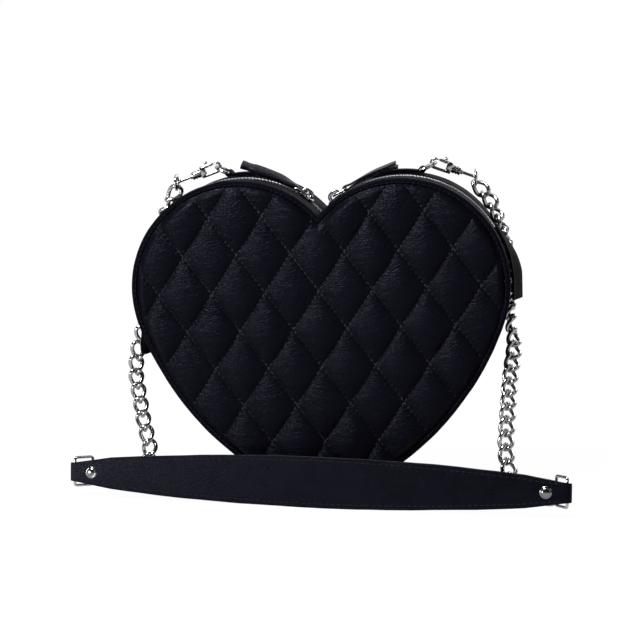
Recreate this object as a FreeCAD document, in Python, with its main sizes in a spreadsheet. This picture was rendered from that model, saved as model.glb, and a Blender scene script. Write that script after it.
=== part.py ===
import FreeCAD, Part
import Sketcher
import math
import os

Vector = FreeCAD.Vector
Rotation = FreeCAD.Rotation
Placement = FreeCAD.Placement
X_AXIS = Vector(1, 0, 0)
Y_AXIS = Vector(0, 1, 0)
Z_AXIS = Vector(0, 0, 1)

# Heart shaped purse with a zip top, chains and a shoulder strap.
# Millimetres. X runs to the right, Y to the back and Z up from the flat tip of the heart.

doc = FreeCAD.newDocument("heart_purse")
sheet = doc.addObject("Spreadsheet::Sheet", "Sizes")

DRIVING = {
    # heart outline, taken at the outside of the edge binding; the shares are of the lobe radius
    "lobe_radius": 61.8,
    "lobe_spread_share": 0.7443,
    "lobe_rise_share": 1.9676,
    "side_radius_share": 2.75,
    "tip_radius_share": 0.4854,
    "base_width_share": 0.2589,
    # shell
    "gusset_depth": 56.0,
    "leather_thickness": 1.5,
    "fabric_thickness": 0.6,
    "sewn_gap": 0.1,
    "binding_depth": 4.0,
    "binding_width": 3.0,
    "panel_rim": 1.4,
    "panel_puff": 5.9,
    "puff_slope_share": 0.1456,
    "padding_margin_share": 0.178,
    "padding_thickness": 3.2,
    # diamond quilting of the panels
    "quilt_width_share": 0.4951,
    "quilt_height_share": 0.7023,
    "quilt_rise_share": 1.9498,
    "quilt_turn_angle": 1.2,
    "quilt_depth": 2.9,
    "quilt_groove": 12.0,
    "lining_setback": 0.8,
    "zip_joint_angle": 4.1,
    # zip
    "zip_slot": 12.0,
    "tape_width": 12.7,
    "tooth_pitch": 2.0,
    "tooth_length": 1.1,
    "tooth_reach": 2.5,
    "tooth_height": 2.4,
    "teeth_apart": 1.4,
    "tooth_margin": 3.0,
    "slider_length": 11.0,
    "slider_width": 8.4,
    "slider_plate": 1.2,
    "slider_gap": 0.3,
    "post_width": 0.9,
    "post_length": 3.0,
    "flange_width": 0.7,
    "flange_drop": 0.9,
    "crown_width": 2.4,
    "crown_length": 6.4,
    "crown_window": 2.3,
    "crown_window_length": 4.0,
    "crown_bar": 1.2,
    "slider_angle_left": 126.0,
    "slider_angle_right": 128.0,
    # pulls
    "bail_wire": 1.4,
    "bail_reach": 8.0,
    "bail_clearance": 0.2,
    "pull_width": 8.0,
    "pull_length": 34.0,
    "pull_thickness": 2.6,
    "pull_dip_angle_left": 8.0,
    "pull_dip_angle_right": 8.0,
    # tabs over the ends of the zip
    "end_tab_width": 22.0,
    "end_tab_thickness": 1.6,
    "end_tab_lap_angle_left": 4.9,
    "end_tab_seat_angle_left": 12.1,
    "end_tab_drop_left": 31.0,
    "end_tab_lap_angle_right": 25.9,
    "end_tab_seat_angle_right": 4.1,
    "end_tab_drop_right": 11.0,
    # D-rings and their tabs
    "ring_tab_width": 11.0,
    "ring_tab_thickness": 2.0,
    "ring_tab_top_angle": 108.0,
    "ring_tab_end_angle": 80.0,
    "ring_edge_gap": 7.5,
    "ring_wire": 2.2,
    "ring_bow": 7.0,
    "ring_leg": 1.5,
    "ring_lift_angle": 25.0,
    "ring_clearance": 0.1,
    # snap hooks
    "hook_tilt_angle": 20.0,
    "hook_slot": 3.4,
    "hook_bar": 1.9,
    "hook_thickness": 3.6,
    "hook_seat_gap": 0.5,
    "hook_tip": 1.0,
    "hook_neck": 7.0,
    "hook_block": 3.0,
    "gate_thickness": 1.6,
    "gate_clearance": 0.1,
    "gate_pin": 1.2,
    "gate_set_in": 0.9,
    "gate_room": 0.8,
    "gate_knob": 1.8,
    "running_clearance": 0.05,
    "barrel_radius": 2.4,
    "barrel_length": 5.5,
    "barrel_wall": 2.0,
    "stem_radius": 0.9,
    "stem_head": 1.5,
    "head_play": 0.3,
    "hook_reach": 25.0,
    "eye_radius": 4.2,
    "eye_wire": 1.8,
    # chains
    "link_pitch": 8.5,
    "link_width": 8.0,
    "link_wire": 1.8,
    "link_play": 0.3,
    "chain_stand_off": 7.2,
    "chain_drop": 4.0,
    # shoulder strap
    "strap_length": 295.0,
    "strap_half_width": 14.5,
    "strap_neck": 26.0,
    "strap_shoulder_half": 9.2,
    "strap_end_half": 5.5,
    "strap_skin": 1.5,
    "strap_gap": 0.05,
    "strap_turn_angle": 10.8,
    "strap_offset": -5.5,
    "strap_clear": 26.0,
    "tail_length": 24.0,
    "tail_half": 5.0,
    "end_ring_wire": 1.8,
    "end_ring_half": 8.2,
    "end_ring_reach": 11.5,
    "end_ring_lean_angle": 50.0,
    "end_ring_play": 0.2,
    "rivet_inset": 14.0,
    "rivet_cap": 7.0,
    "rivet_cap_height": 1.0,
    "rivet_post": 2.8,
}


class Size:
    """A length that keeps its number and its spreadsheet expression together."""

    def __init__(self, value, text):
        self.value = value
        self.text = text

    def join(self, other, sign, value):
        return Size(value, "(" + self.text + sign + as_size(other).text + ")")

    def __add__(self, other):
        return self.join(other, " + ", self.value + as_size(other).value)

    def __radd__(self, other):
        return as_size(other) + self

    def __sub__(self, other):
        return self.join(other, " - ", self.value - as_size(other).value)

    def __rsub__(self, other):
        return as_size(other) - self

    def __mul__(self, other):
        return self.join(other, " * ", self.value * as_size(other).value)

    def __rmul__(self, other):
        return as_size(other) * self

    def __truediv__(self, other):
        return self.join(other, " / ", self.value / as_size(other).value)

    def __neg__(self):
        return Size(-self.value, "(0 - " + self.text + ")")


def as_size(number):
    return number if isinstance(number, Size) else Size(float(number), repr(float(number)))


def root(size):
    return Size(math.sqrt(size.value), "sqrt(" + size.text + ")")


def set_up_sheet():
    for row, (name, number) in enumerate(DRIVING.items(), start=1):
        sheet.set("A%d" % row, name)
        sheet.set("B%d" % row, repr(number))
        sheet.setAlias("B%d" % row, name)
    doc.recompute()
    return {name: Size(float(sheet.get(name)), "Sizes." + name) for name in DRIVING}


def sine(angle):
    return Size(math.sin(math.radians(angle.value)), "sin(" + angle.text + " * 1 deg)")


def cosine(angle):
    return Size(math.cos(math.radians(angle.value)), "cos(" + angle.text + " * 1 deg)")


S = set_up_sheet()
# sizes that follow others: the heart its lobes, the zip's ends its joint, the strap its length
for follower in ("lobe_spread", "lobe_rise", "side_radius", "tip_radius", "base_width", "puff_slope",
                 "padding_margin", "quilt_width", "quilt_height", "quilt_rise"):
    S[follower] = S["lobe_radius"] * S[follower + "_share"]
S["zip_joint_rise"] = S["lobe_rise"] + S["lobe_radius"] * sine(S["zip_joint_angle"])
for hand in ("left", "right"):
    S["end_tab_top_" + hand] = S["zip_joint_angle"] + S["end_tab_lap_angle_" + hand]
    S["end_tab_bend_" + hand] = S["zip_joint_angle"] - S["end_tab_seat_angle_" + hand]
S["ring_set_back"] = S["gusset_depth"] / 2 - S["ring_edge_gap"]
S["strap_forward"] = S["gusset_depth"] / 2 + S["strap_clear"]
S["strap_shoulder"] = S["strap_length"] / 2 - S["strap_neck"]


def number(name):
    return S[name].value


def bind(item, prop, size):
    item.setExpression(prop, as_size(size).text)


def polar(angle, radius):
    turn = math.radians(angle)
    return radius * math.cos(turn), radius * math.sin(turn)


# Sketch and body helpers

def new_body(label):
    body = doc.addObject("PartDesign::Body", label)
    body.Label = label
    return body


def new_sketch(body, name, role, offset=None):
    sketch = body.newObject("Sketcher::SketchObject", name)
    plane = [item for item in body.Origin.OriginFeatures if item.Role == role][0]
    sketch.AttachmentSupport = [(plane, "")]
    sketch.MapMode = "FlatFace"
    if offset is not None:
        bind(sketch, "AttachmentOffset.Base.z", offset)
    return sketch


def new_pad(body, sketch, name, length):
    pad = body.newObject("PartDesign::Pad", name)
    pad.Profile = sketch
    bind(pad, "Length", length)
    return pad


def hold(sketch, kind, *where):
    return sketch.addConstraint(Sketcher.Constraint(kind, *where))


def hold_size(sketch, kind, where, size):
    size = as_size(size)
    index = sketch.addConstraint(Sketcher.Constraint(kind, *where, size.value))
    sketch.setExpression("Constraints[%d]" % index, size.text)


def pin(sketch, shape, end, across, up):
    for kind, axis, size in (("DistanceX", -2, as_size(across)), ("DistanceY", -1, as_size(up))):
        if abs(size.value) < 1e-9:
            hold(sketch, "PointOnObject", shape, end, axis)
        else:
            hold_size(sketch, kind, (-1, 1, shape, end), size)


def polygon(sketch, corners):
    """A closed run of straight edges whose corners are pairs of sizes."""
    corners = [(as_size(a), as_size(b)) for a, b in corners]
    spots = [Vector(a.value, b.value, 0) for a, b in corners]
    edges = []
    for spot, following in zip(spots, spots[1:] + spots[:1]):
        edges.append(sketch.addGeometry(Part.LineSegment(spot, following), False))
    for edge, following in zip(edges, edges[1:] + edges[:1]):
        hold(sketch, "Coincident", edge, 2, following, 1)
    for edge, (a, b) in zip(edges, corners):
        pin(sketch, edge, 1, a, b)


def add_arc(sketch, centre, radius, start, end):
    circle = Part.Circle(Vector(centre[0], centre[1], 0), Z_AXIS, radius)
    return sketch.addGeometry(Part.ArcOfCircle(circle, start, end), False)


def add_line(sketch, start, end):
    return sketch.addGeometry(Part.LineSegment(Vector(*start, 0), Vector(*end, 0)), False)


def add_cylinder(body, kind, name, radius, height, base, direction):
    """A round boss or bore in a body; the base is a triple of sizes."""
    item = body.newObject("PartDesign::" + kind + "Cylinder", name)
    item.Placement = Placement(Vector(), Rotation(Z_AXIS, direction))
    bind(item, "Radius", radius)
    bind(item, "Height", height)
    for axis, size in zip("xyz", base):
        bind(item, "Placement.Base." + axis, size)
    return item


def add_box(body, kind, name, corner, spans):
    item = body.newObject("PartDesign::" + kind + "Box", name)
    for prop, size in zip(("Length", "Width", "Height"), spans):
        bind(item, prop, size)
    for axis, size in zip("xyz", corner):
        bind(item, "Placement.Base." + axis, size)
    return item


def part_box(name, corner, spans):
    item = doc.addObject("Part::Box", name)
    for prop, size in zip(("Length", "Width", "Height"), spans):
        bind(item, prop, size)
    for axis, size in zip("xyz", corner):
        bind(item, "Placement.Base." + axis, size)
    return item


def boolean(kind, label, base, tool):
    item = doc.addObject("Part::" + kind, label)
    item.Label = label
    item.Base = base
    item.Tool = tool
    return item


def mirrored(label, source):
    item = doc.addObject("Part::Mirroring", label)
    item.Label = label
    item.Source = source
    item.Normal = X_AXIS
    return item


# Heart outline: two lobe arcs, two side arcs tangent to them, a small tip arc and the flat base

TIP_RISE = root(S["tip_radius"] * S["tip_radius"] - S["base_width"] * S["base_width"] / 4)


def side_centre():
    """Centre of the right side arc, which touches the lobe arc and the tip arc from outside."""
    lobe_x, lobe_z = number("lobe_spread"), number("lobe_rise")
    to_lobe = number("side_radius") - number("lobe_radius")
    to_tip = number("side_radius") - number("tip_radius")
    span = math.hypot(lobe_x, lobe_z - TIP_RISE.value)
    along = (to_lobe ** 2 - to_tip ** 2 + span ** 2) / (2 * span)
    across = math.sqrt(to_lobe ** 2 - along ** 2)
    unit_x, unit_z = -lobe_x / span, (TIP_RISE.value - lobe_z) / span
    return lobe_x + along * unit_x + across * unit_z, lobe_z + along * unit_z - across * unit_x


SIDE_X, SIDE_Z = side_centre()


def heart(sketch, inset):
    """One closed heart, set in from the outline by an even distance."""
    inset = as_size(inset)
    lobe = number("lobe_radius") - inset.value
    side = number("side_radius") - inset.value
    tip = number("tip_radius") - inset.value
    foot = TIP_RISE.value - inset.value
    half = math.sqrt(tip ** 2 - foot ** 2)
    spread, rise = number("lobe_spread"), number("lobe_rise")
    base_turn = math.atan2(-foot, half)
    tip_turn = math.atan2(TIP_RISE.value - SIDE_Z, -SIDE_X)
    side_turn = math.atan2(rise - SIDE_Z, spread - SIDE_X)
    notch_turn = math.pi - math.acos(spread / lobe)
    base = add_line(sketch, (-half, inset.value), (half, inset.value))
    tip_right = add_arc(sketch, (0, TIP_RISE.value), tip, base_turn, tip_turn)
    side_right = add_arc(sketch, (SIDE_X, SIDE_Z), side, tip_turn, side_turn)
    lobe_right = add_arc(sketch, (spread, rise), lobe, side_turn, notch_turn)
    lobe_left = add_arc(sketch, (-spread, rise), lobe, math.pi - notch_turn, math.pi - side_turn)
    side_left = add_arc(sketch, (-SIDE_X, SIDE_Z), side, math.pi - side_turn, math.pi - tip_turn)
    tip_left = add_arc(sketch, (0, TIP_RISE.value), tip, math.pi - tip_turn, math.pi - base_turn)
    hold(sketch, "Coincident", base, 2, tip_right, 1)
    hold(sketch, "Coincident", lobe_right, 2, lobe_left, 1)
    hold(sketch, "Coincident", tip_left, 2, base, 1)
    hold(sketch, "Tangent", tip_right, 2, side_right, 1)
    hold(sketch, "Tangent", side_right, 2, lobe_right, 1)
    hold(sketch, "Tangent", lobe_left, 2, side_left, 1)
    hold(sketch, "Tangent", side_left, 2, tip_left, 1)
    hold(sketch, "Horizontal", base)
    for arc, size in ((lobe_right, "lobe_radius"), (lobe_left, "lobe_radius"), (side_right, "side_radius"),
                      (side_left, "side_radius"), (tip_right, "tip_radius"), (tip_left, "tip_radius")):
        hold_size(sketch, "Radius", (arc,), S[size] - inset)
    pin(sketch, lobe_right, 3, S["lobe_spread"], S["lobe_rise"])
    pin(sketch, lobe_left, 3, -S["lobe_spread"], S["lobe_rise"])
    hold(sketch, "PointOnObject", tip_right, 3, -2)
    hold(sketch, "Coincident", tip_right, 3, tip_left, 3)
    hold_size(sketch, "DistanceY", (-1, 1, tip_right, 3), TIP_RISE)
    hold_size(sketch, "DistanceY", (base, 1, tip_right, 3), TIP_RISE - inset)


def heart_plate(label, insets, near, far):
    """A plate or ring between two hearts, from one depth to another; the first depth is nearer the back."""
    body = new_body(label)
    sketch = new_sketch(body, label + "_outline", "XZ_Plane", -near)
    for inset in insets:
        heart(sketch, inset)
    new_pad(body, sketch, label + "_pad", near - far)
    return body


# Shell: panels, padding, linings, bindings and gusset

HALF = S["gusset_depth"] / 2
GUSSET_IN = S["leather_thickness"]
UNDER_IN = GUSSET_IN + S["sewn_gap"]
TAPE_IN = UNDER_IN + S["fabric_thickness"]
PANEL_IN = S["binding_width"] + S["sewn_gap"]
LINING_FACE = HALF + S["lining_setback"]
PANEL_BACK = LINING_FACE + S["fabric_thickness"] + S["sewn_gap"]
PANEL_FACE = PANEL_BACK + S["panel_rim"] + S["panel_puff"]

# Quilting: the seams run two ways, along the sides of diamonds that stand on their points
QUILT_COUNT = 4
QUILT_REACH = S["lobe_radius"] * 3
QUILT_LEAN = math.degrees(math.atan2(number("quilt_width"), number("quilt_height")))
QUILT_PITCH = S["quilt_width"] * S["quilt_height"] / root(S["quilt_width"] * S["quilt_width"]
                                                          + S["quilt_height"] * S["quilt_height"])


def make_quilting(side, sign, way, lean):
    """A comb whose teeth cut the seams that run one way over a panel as V grooves."""
    body = new_body("_".join((side, way, "quilting")))
    sketch = new_sketch(body, "_".join((side, way, "comb")), "XY_Plane", -QUILT_REACH)
    over = S["leather_thickness"]
    foot = sign * (PANEL_FACE - S["quilt_depth"])
    gum = sign * (PANEL_FACE + over)
    half = S["quilt_groove"] / 2 * (S["quilt_depth"] + over) / S["quilt_depth"]
    corners = []
    for seam in range(-QUILT_COUNT, QUILT_COUNT + 1):
        middle = QUILT_PITCH * seam
        corners += [(middle - half, gum), (middle, foot), (middle + half, gum)]
    last = QUILT_PITCH * QUILT_COUNT + half
    back = sign * (PANEL_FACE + over * 2)
    polygon(sketch, corners + [(last, back), (-last, back)])
    new_pad(body, sketch, "_".join((side, way, "teeth")), QUILT_REACH * 2)
    body.Placement = Placement(Vector(0, 0, number("quilt_rise")),
                               Rotation(Y_AXIS, lean - number("quilt_turn_angle")))
    return body


def make_panel(side, sign):
    """Quilted panel: a rim, a sloping edge and a raised face, hollow behind for its padding."""
    rim = PANEL_BACK + S["panel_rim"]
    block = new_body(side + "_panel_block")
    first = new_sketch(block, side + "_rim_outline", "XZ_Plane", -sign * PANEL_BACK)
    heart(first, PANEL_IN)
    base = new_pad(block, first, side + "_rim", S["panel_rim"])
    base.Reversed = sign > 0
    low = new_sketch(block, side + "_slope_foot", "XZ_Plane", -sign * rim)
    heart(low, PANEL_IN)
    high = new_sketch(block, side + "_slope_top", "XZ_Plane", -sign * PANEL_FACE)
    heart(high, PANEL_IN + S["puff_slope"])
    slope = block.newObject("PartDesign::AdditiveLoft", side + "_slope")
    slope.Profile = low
    slope.Sections = [high]
    slope.Ruled = True
    inner, outer = PANEL_BACK, PANEL_BACK + S["padding_thickness"]
    near, far = (outer, inner) if sign > 0 else (-inner, -outer)
    padding = heart_plate(side + "_padding", [PANEL_IN + S["padding_margin"]], near, far)
    for way, lean in (("rising", QUILT_LEAN), ("falling", -QUILT_LEAN)):
        comb = make_quilting(side, sign, way, lean)
        block = boolean("Cut", "_".join((side, way, "seams")), block, comb)
    return boolean("Cut", side + "_panel", block, padding), padding


def make_lining(side, sign):
    inner, outer = LINING_FACE, LINING_FACE + S["fabric_thickness"]
    near, far = (outer, inner) if sign > 0 else (-inner, -outer)
    return heart_plate(side + "_lining", [PANEL_IN], near, far)


def make_binding(side, sign):
    inner, outer = HALF, HALF + S["binding_depth"]
    near, far = (outer, inner) if sign > 0 else (-inner, -outer)
    return heart_plate(side + "_binding", [0, S["binding_width"]], near, far)


WIDE = 3 * S["lobe_radius"]
TALL = 2 * S["lobe_radius"]


def upper_block(name, front, depth):
    return part_box(name, (-WIDE, front, S["zip_joint_rise"]), (WIDE * 2, depth, TALL))


def lower_block(name):
    return part_box(name, (-WIDE, -HALF * 2, -TALL), (WIDE * 2, HALF * 4, TALL + S["zip_joint_rise"]))


def make_gusset():
    """The gusset is one leather ring, cut into the lower part and the two strips beside the zip."""
    strip = HALF - S["zip_slot"] / 2
    ring = heart_plate("gusset_ring", [0, GUSSET_IN], HALF, -HALF)
    under = heart_plate("under_ring", [UNDER_IN, TAPE_IN], HALF, -HALF)
    tape_edge = S["teeth_apart"] / 2 + S["tooth_reach"] + S["running_clearance"]
    return [
        boolean("Common", "lower_gusset", ring, lower_block("lower_gusset_block")),
        boolean("Common", "zip_strip_front", ring, upper_block("front_strip_block", -HALF, strip)),
        boolean("Common", "zip_strip_rear", ring, upper_block("rear_strip_block", S["zip_slot"] / 2, strip)),
        boolean("Common", "gusset_lining", under, lower_block("gusset_lining_block")),
        boolean("Common", "zip_tape_front", under,
                upper_block("front_tape_block", -tape_edge - S["tape_width"], S["tape_width"])),
        boolean("Common", "zip_tape_rear", under, upper_block("rear_tape_block", tape_edge, S["tape_width"])),
    ]


# Zip: teeth, sliders, bails, pulls and the tabs over the ends

TAPE_MIDDLE = (UNDER_IN + TAPE_IN) / 2
TOOTH_RADIUS = S["lobe_radius"] - TAPE_MIDDLE


def make_teeth(label, sign):
    """A row of metal teeth round both lobes, standing off the middle so the slider post passes."""
    reach, tall, long = number("tooth_reach"), number("tooth_height"), number("tooth_length")
    radius = TOOTH_RADIUS.value
    near = number("teeth_apart") / 2 if sign > 0 else -number("teeth_apart") / 2 - reach
    block = Part.makeBox(tall, reach, long, Vector(radius - tall / 2, near, -long / 2))
    margin = number("tooth_margin") / radius
    top = 180 - math.degrees(math.acos(number("lobe_spread") / radius) + margin)
    step = math.degrees(number("tooth_pitch") / radius)
    teeth = []
    for side, name in ((1, "right"), (-1, "left")):
        count = int((top - number("end_tab_top_" + name) - math.degrees(margin) / 2) / step)
        for index in range(count + 1):
            turn = top - index * step
            angle = turn if side > 0 else 180 - turn
            tooth = block.copy()
            tooth.rotate(Vector(), Y_AXIS, -angle)
            tooth.translate(Vector(side * number("lobe_spread"), 0, number("lobe_rise")))
            teeth.append(tooth)
    row = doc.addObject("Part::Feature", label)
    row.Label = label
    row.Shape = Part.makeCompound(teeth)
    return row


def lobe_place(side, angle, lift=0.0):
    """Frame on a lobe: X points outward from the lobe centre, Z along the lobe towards the bottom."""
    turn = angle if side > 0 else 180 - angle
    return Placement(Vector(side * number("lobe_spread"), 0, number("lobe_rise")),
                     Rotation(Y_AXIS, lift - turn))


def sector(sketch, radius_low, radius_high, half_angle):
    """A short piece of a ring, even about the sketch's X axis."""
    low, high = as_size(radius_low), as_size(radius_high)
    half = as_size(half_angle)
    turn = math.radians(half.value)
    inner = add_arc(sketch, (0, 0), low.value, -turn, turn)
    outer = add_arc(sketch, (0, 0), high.value, -turn, turn)
    lower = add_line(sketch, polar(-half.value, low.value), polar(-half.value, high.value))
    upper = add_line(sketch, polar(half.value, low.value), polar(half.value, high.value))
    for arc in (inner, outer):
        hold(sketch, "Coincident", arc, 3, -1, 1)
    hold(sketch, "Coincident", lower, 1, inner, 1)
    hold(sketch, "Coincident", lower, 2, outer, 1)
    hold(sketch, "Coincident", upper, 1, inner, 2)
    hold(sketch, "Coincident", upper, 2, outer, 2)
    hold_size(sketch, "Radius", (inner,), low)
    hold_size(sketch, "Radius", (outer,), high)
    hold(sketch, "PointOnObject", -1, 1, lower)
    hold(sketch, "PointOnObject", -1, 1, upper)
    hold(sketch, "Symmetric", inner, 1, inner, 2, -1)
    hold_size(sketch, "DistanceY", (inner, 1, inner, 2), 2 * low * sine(half))


def sector_pad(body, name, low, high, half_angle, width, middle=0):
    sketch = new_sketch(body, name + "_outline", "XZ_Plane", -(as_size(middle) + as_size(width) / 2))
    sector(sketch, low, high, half_angle)
    return new_pad(body, sketch, name, width)


DEGREES = Size(180 / math.pi, "(180 / pi)")
TEETH_TOP = TOOTH_RADIUS + S["tooth_height"] / 2
TEETH_BASE = TOOTH_RADIUS - S["tooth_height"] / 2
PLATE_LOW = TEETH_TOP + S["slider_gap"]
PLATE_TOP = PLATE_LOW + S["slider_plate"]
FLOOR_TOP = TEETH_BASE - S["slider_gap"]
PULL_RADIUS = PLATE_TOP + S["crown_window"] / 2


def arc_half(length, radius):
    return length / 2 / radius * DEGREES


def make_slider(name, side):
    """Two curved plates joined by the thin post, side flanges and a crown for the pull."""
    body = new_body("slider_" + name)
    half = arc_half(S["slider_length"], TOOTH_RADIUS)
    sector_pad(body, name + "_top_plate", PLATE_LOW, PLATE_TOP, half, S["slider_width"])
    sector_pad(body, name + "_post", FLOOR_TOP, PLATE_LOW, arc_half(S["post_length"], TOOTH_RADIUS),
               S["post_width"])
    sector_pad(body, name + "_floor", FLOOR_TOP - S["slider_plate"], FLOOR_TOP, half, S["slider_width"])
    edge = S["slider_width"] / 2 - S["flange_width"] / 2
    for tag, across in (("front", -edge), ("rear", edge)):
        sector_pad(body, name + "_flange_" + tag, PLATE_LOW - S["flange_drop"], PLATE_LOW, half,
                   S["flange_width"], across)
    crown = new_sketch(body, name + "_crown_outline", "XZ_Plane", -S["crown_width"] / 2)
    low, high = PLATE_TOP - S["slider_plate"] / 2, PLATE_TOP + S["crown_window"]
    outer, inner = S["crown_length"] / 2, S["crown_window_length"] / 2
    polygon(crown, [(low, -outer), (high + S["crown_bar"], -outer), (high + S["crown_bar"], outer),
                    (low, outer), (low, inner), (high, inner), (high, -inner), (low, -inner)])
    new_pad(body, crown, name + "_crown", S["crown_width"])
    body.Placement = lobe_place(side, number("slider_angle_" + name))
    return body


def pull_place(name, side):
    """Frame of a pull: origin on its hinge, X along the pull towards its free end."""
    angle = number("slider_angle_" + name)
    centre = lobe_place(side, angle).multVec(Vector(PULL_RADIUS.value, 0, 0))
    slope = angle - 90 - number("pull_dip_angle_" + name)
    turn = -slope if side > 0 else slope - 180
    return Placement(centre, Rotation(Y_AXIS, turn))


def make_bail(name, side):
    """Square wire frame hung in the crown."""
    body = new_body("pull_bail_" + name)
    wire = S["bail_wire"]
    inner = S["pull_width"] / 2 + S["bail_clearance"]
    sketch = new_sketch(body, name + "_bail_outline", "XY_Plane", -wire / 2)
    near, far = -wire / 2, S["bail_reach"] + wire / 2
    polygon(sketch, [(near, -inner - wire), (far, -inner - wire), (far, inner + wire), (near, inner + wire)])
    polygon(sketch, [(near + wire, -inner), (far - wire, -inner), (far - wire, inner), (near + wire, inner)])
    new_pad(body, sketch, name + "_bail", wire)
    body.Placement = pull_place(name, side)
    return body


def make_pull(name, side):
    """Folded leather pull: a rounded eye over the outer bar of the bail and a flat strip."""
    body = new_body("pull_tab_" + name)
    half = S["pull_thickness"] / 2
    wide = S["pull_width"]
    bar_room = root(S["bail_wire"] * S["bail_wire"] / 2) + S["bail_clearance"] / 2
    eye = bar_room + S["leather_thickness"] / 2
    start = S["bail_reach"]
    sketch = new_sketch(body, name + "_pull_outline", "XZ_Plane", -wide / 2)
    polygon(sketch, [(start, -half), (start + S["pull_length"], -half), (start + S["pull_length"], half),
                     (start, half)])
    new_pad(body, sketch, name + "_strip", wide)
    add_cylinder(body, "Additive", name + "_eye", eye, wide, (start, -wide / 2, 0), Y_AXIS)
    add_cylinder(body, "Subtractive", name + "_eye_bore", bar_room, wide * 2, (start, -wide, 0), Y_AXIS)
    body.Placement = pull_place(name, side)
    return body


def make_end_tab(name, side):
    """Leather tab sewn along the lobe over the end of the zip, then hanging straight."""
    low = S["lobe_radius"] + S["sewn_gap"]
    high = low + S["end_tab_thickness"]
    top, bend = S["end_tab_top_" + name], S["end_tab_bend_" + name]
    half = (top - bend) / 2
    body = new_body("zip_end_tab_" + name)
    sector_pad(body, name + "_tab_seat", low, high, half, S["end_tab_width"])
    hang = new_sketch(body, name + "_tab_hang_outline", "XZ_Plane", -S["end_tab_width"] / 2)
    rows = [(low, 0), (high, 0), (high, S["end_tab_drop_" + name]), (low, S["end_tab_drop_" + name])]
    polygon(hang, [(a, -side * as_size(b)) for a, b in rows])
    hang.AttachmentOffset = Placement(hang.AttachmentOffset.Base, Rotation(Z_AXIS, -side * half.value))
    new_pad(body, hang, name + "_tab_hang", S["end_tab_width"])
    body.Placement = lobe_place(side, (top.value + bend.value) / 2)
    return body


# D-rings and snap hooks, made for the right side and mirrored

RING_RADIUS = S["ring_wire"] / 2
TAB_LOW = S["lobe_radius"] + S["sewn_gap"]
LOOP_BORE = RING_RADIUS + S["ring_clearance"]
LOOP_OUTER = LOOP_BORE + S["ring_tab_thickness"] / 2
BAR_RADIUS = TAB_LOW + LOOP_OUTER + S["sewn_gap"]


def make_ring_tab():
    """Leather strip on the gusset with a loop at its outer end for the bar of the D-ring."""
    body = new_body("d_ring_tab_right")
    top, end = S["ring_tab_top_angle"], S["ring_tab_end_angle"]
    half = (top - end) / 2
    wide, back = S["ring_tab_width"], S["ring_set_back"]
    sector_pad(body, "ring_tab_strip", TAB_LOW, TAB_LOW + S["ring_tab_thickness"], half, wide, back)
    across, along = BAR_RADIUS * cosine(half), -BAR_RADIUS * sine(half)
    add_cylinder(body, "Additive", "ring_tab_loop", LOOP_OUTER, wide,
                 (across, back - wide / 2, along), Y_AXIS)
    add_cylinder(body, "Subtractive", "ring_tab_bore", LOOP_BORE, wide * 2,
                 (across, back - wide, along), Y_AXIS)
    body.Placement = lobe_place(1, (top.value + end.value) / 2)
    return body


def ring_place():
    """Frame of the right D-ring: origin on its bar, X towards its bow."""
    end = lobe_place(1, number("ring_tab_end_angle"))
    bar = end.multVec(Vector(BAR_RADIUS.value, number("ring_set_back"), 0))
    return Placement(bar, Rotation(Y_AXIS, -number("ring_lift_angle")))


def make_d_ring():
    """Round wire: a straight bar, two short legs and a half round bow."""
    body = new_body("d_ring_right")
    wire, bow, leg = RING_RADIUS, S["ring_bow"], S["ring_leg"]
    add_cylinder(body, "Additive", "ring_bar", wire, bow * 2, (0, -bow, 0), Y_AXIS)
    for tag, across in (("front", -bow), ("rear", bow)):
        add_cylinder(body, "Additive", "ring_leg_" + tag, wire, leg, (0, across, 0), X_AXIS)
        corner = body.newObject("PartDesign::AdditiveSphere", "ring_corner_" + tag)
        bind(corner, "Radius", wire)
        bind(corner, "Placement.Base.y", across)
    arc = body.newObject("PartDesign::AdditiveTorus", "ring_bow_arc")
    arc.Placement = Placement(Vector(), Rotation(Z_AXIS, -90))
    arc.Angle3 = 180
    bind(arc, "Radius1", bow)
    bind(arc, "Radius2", wire)
    bind(arc, "Placement.Base.x", leg)
    body.Placement = ring_place()
    return body


def hook_place():
    """Frame of the right hook: origin on the bow of the D-ring, X towards the swivel eye."""
    bow = ring_place().multVec(Vector(number("ring_leg") + number("ring_bow"), 0, 0))
    return Placement(bow, Rotation(Y_AXIS, number("hook_tilt_angle")))


SLOT = S["hook_slot"] / 2
CLAW = SLOT + S["hook_bar"]
SEAT = SLOT - RING_RADIUS - S["hook_seat_gap"]
BLOCK_END = S["hook_neck"] + S["hook_block"]
GATE_X = S["hook_neck"] + S["gate_set_in"]
GATE_Z = (SLOT + CLAW) / 2
PIN = S["gate_pin"] / 2
HEAD_START = BLOCK_END + S["head_play"]
HEAD_END = BLOCK_END + S["barrel_length"] - S["barrel_wall"]


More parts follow.
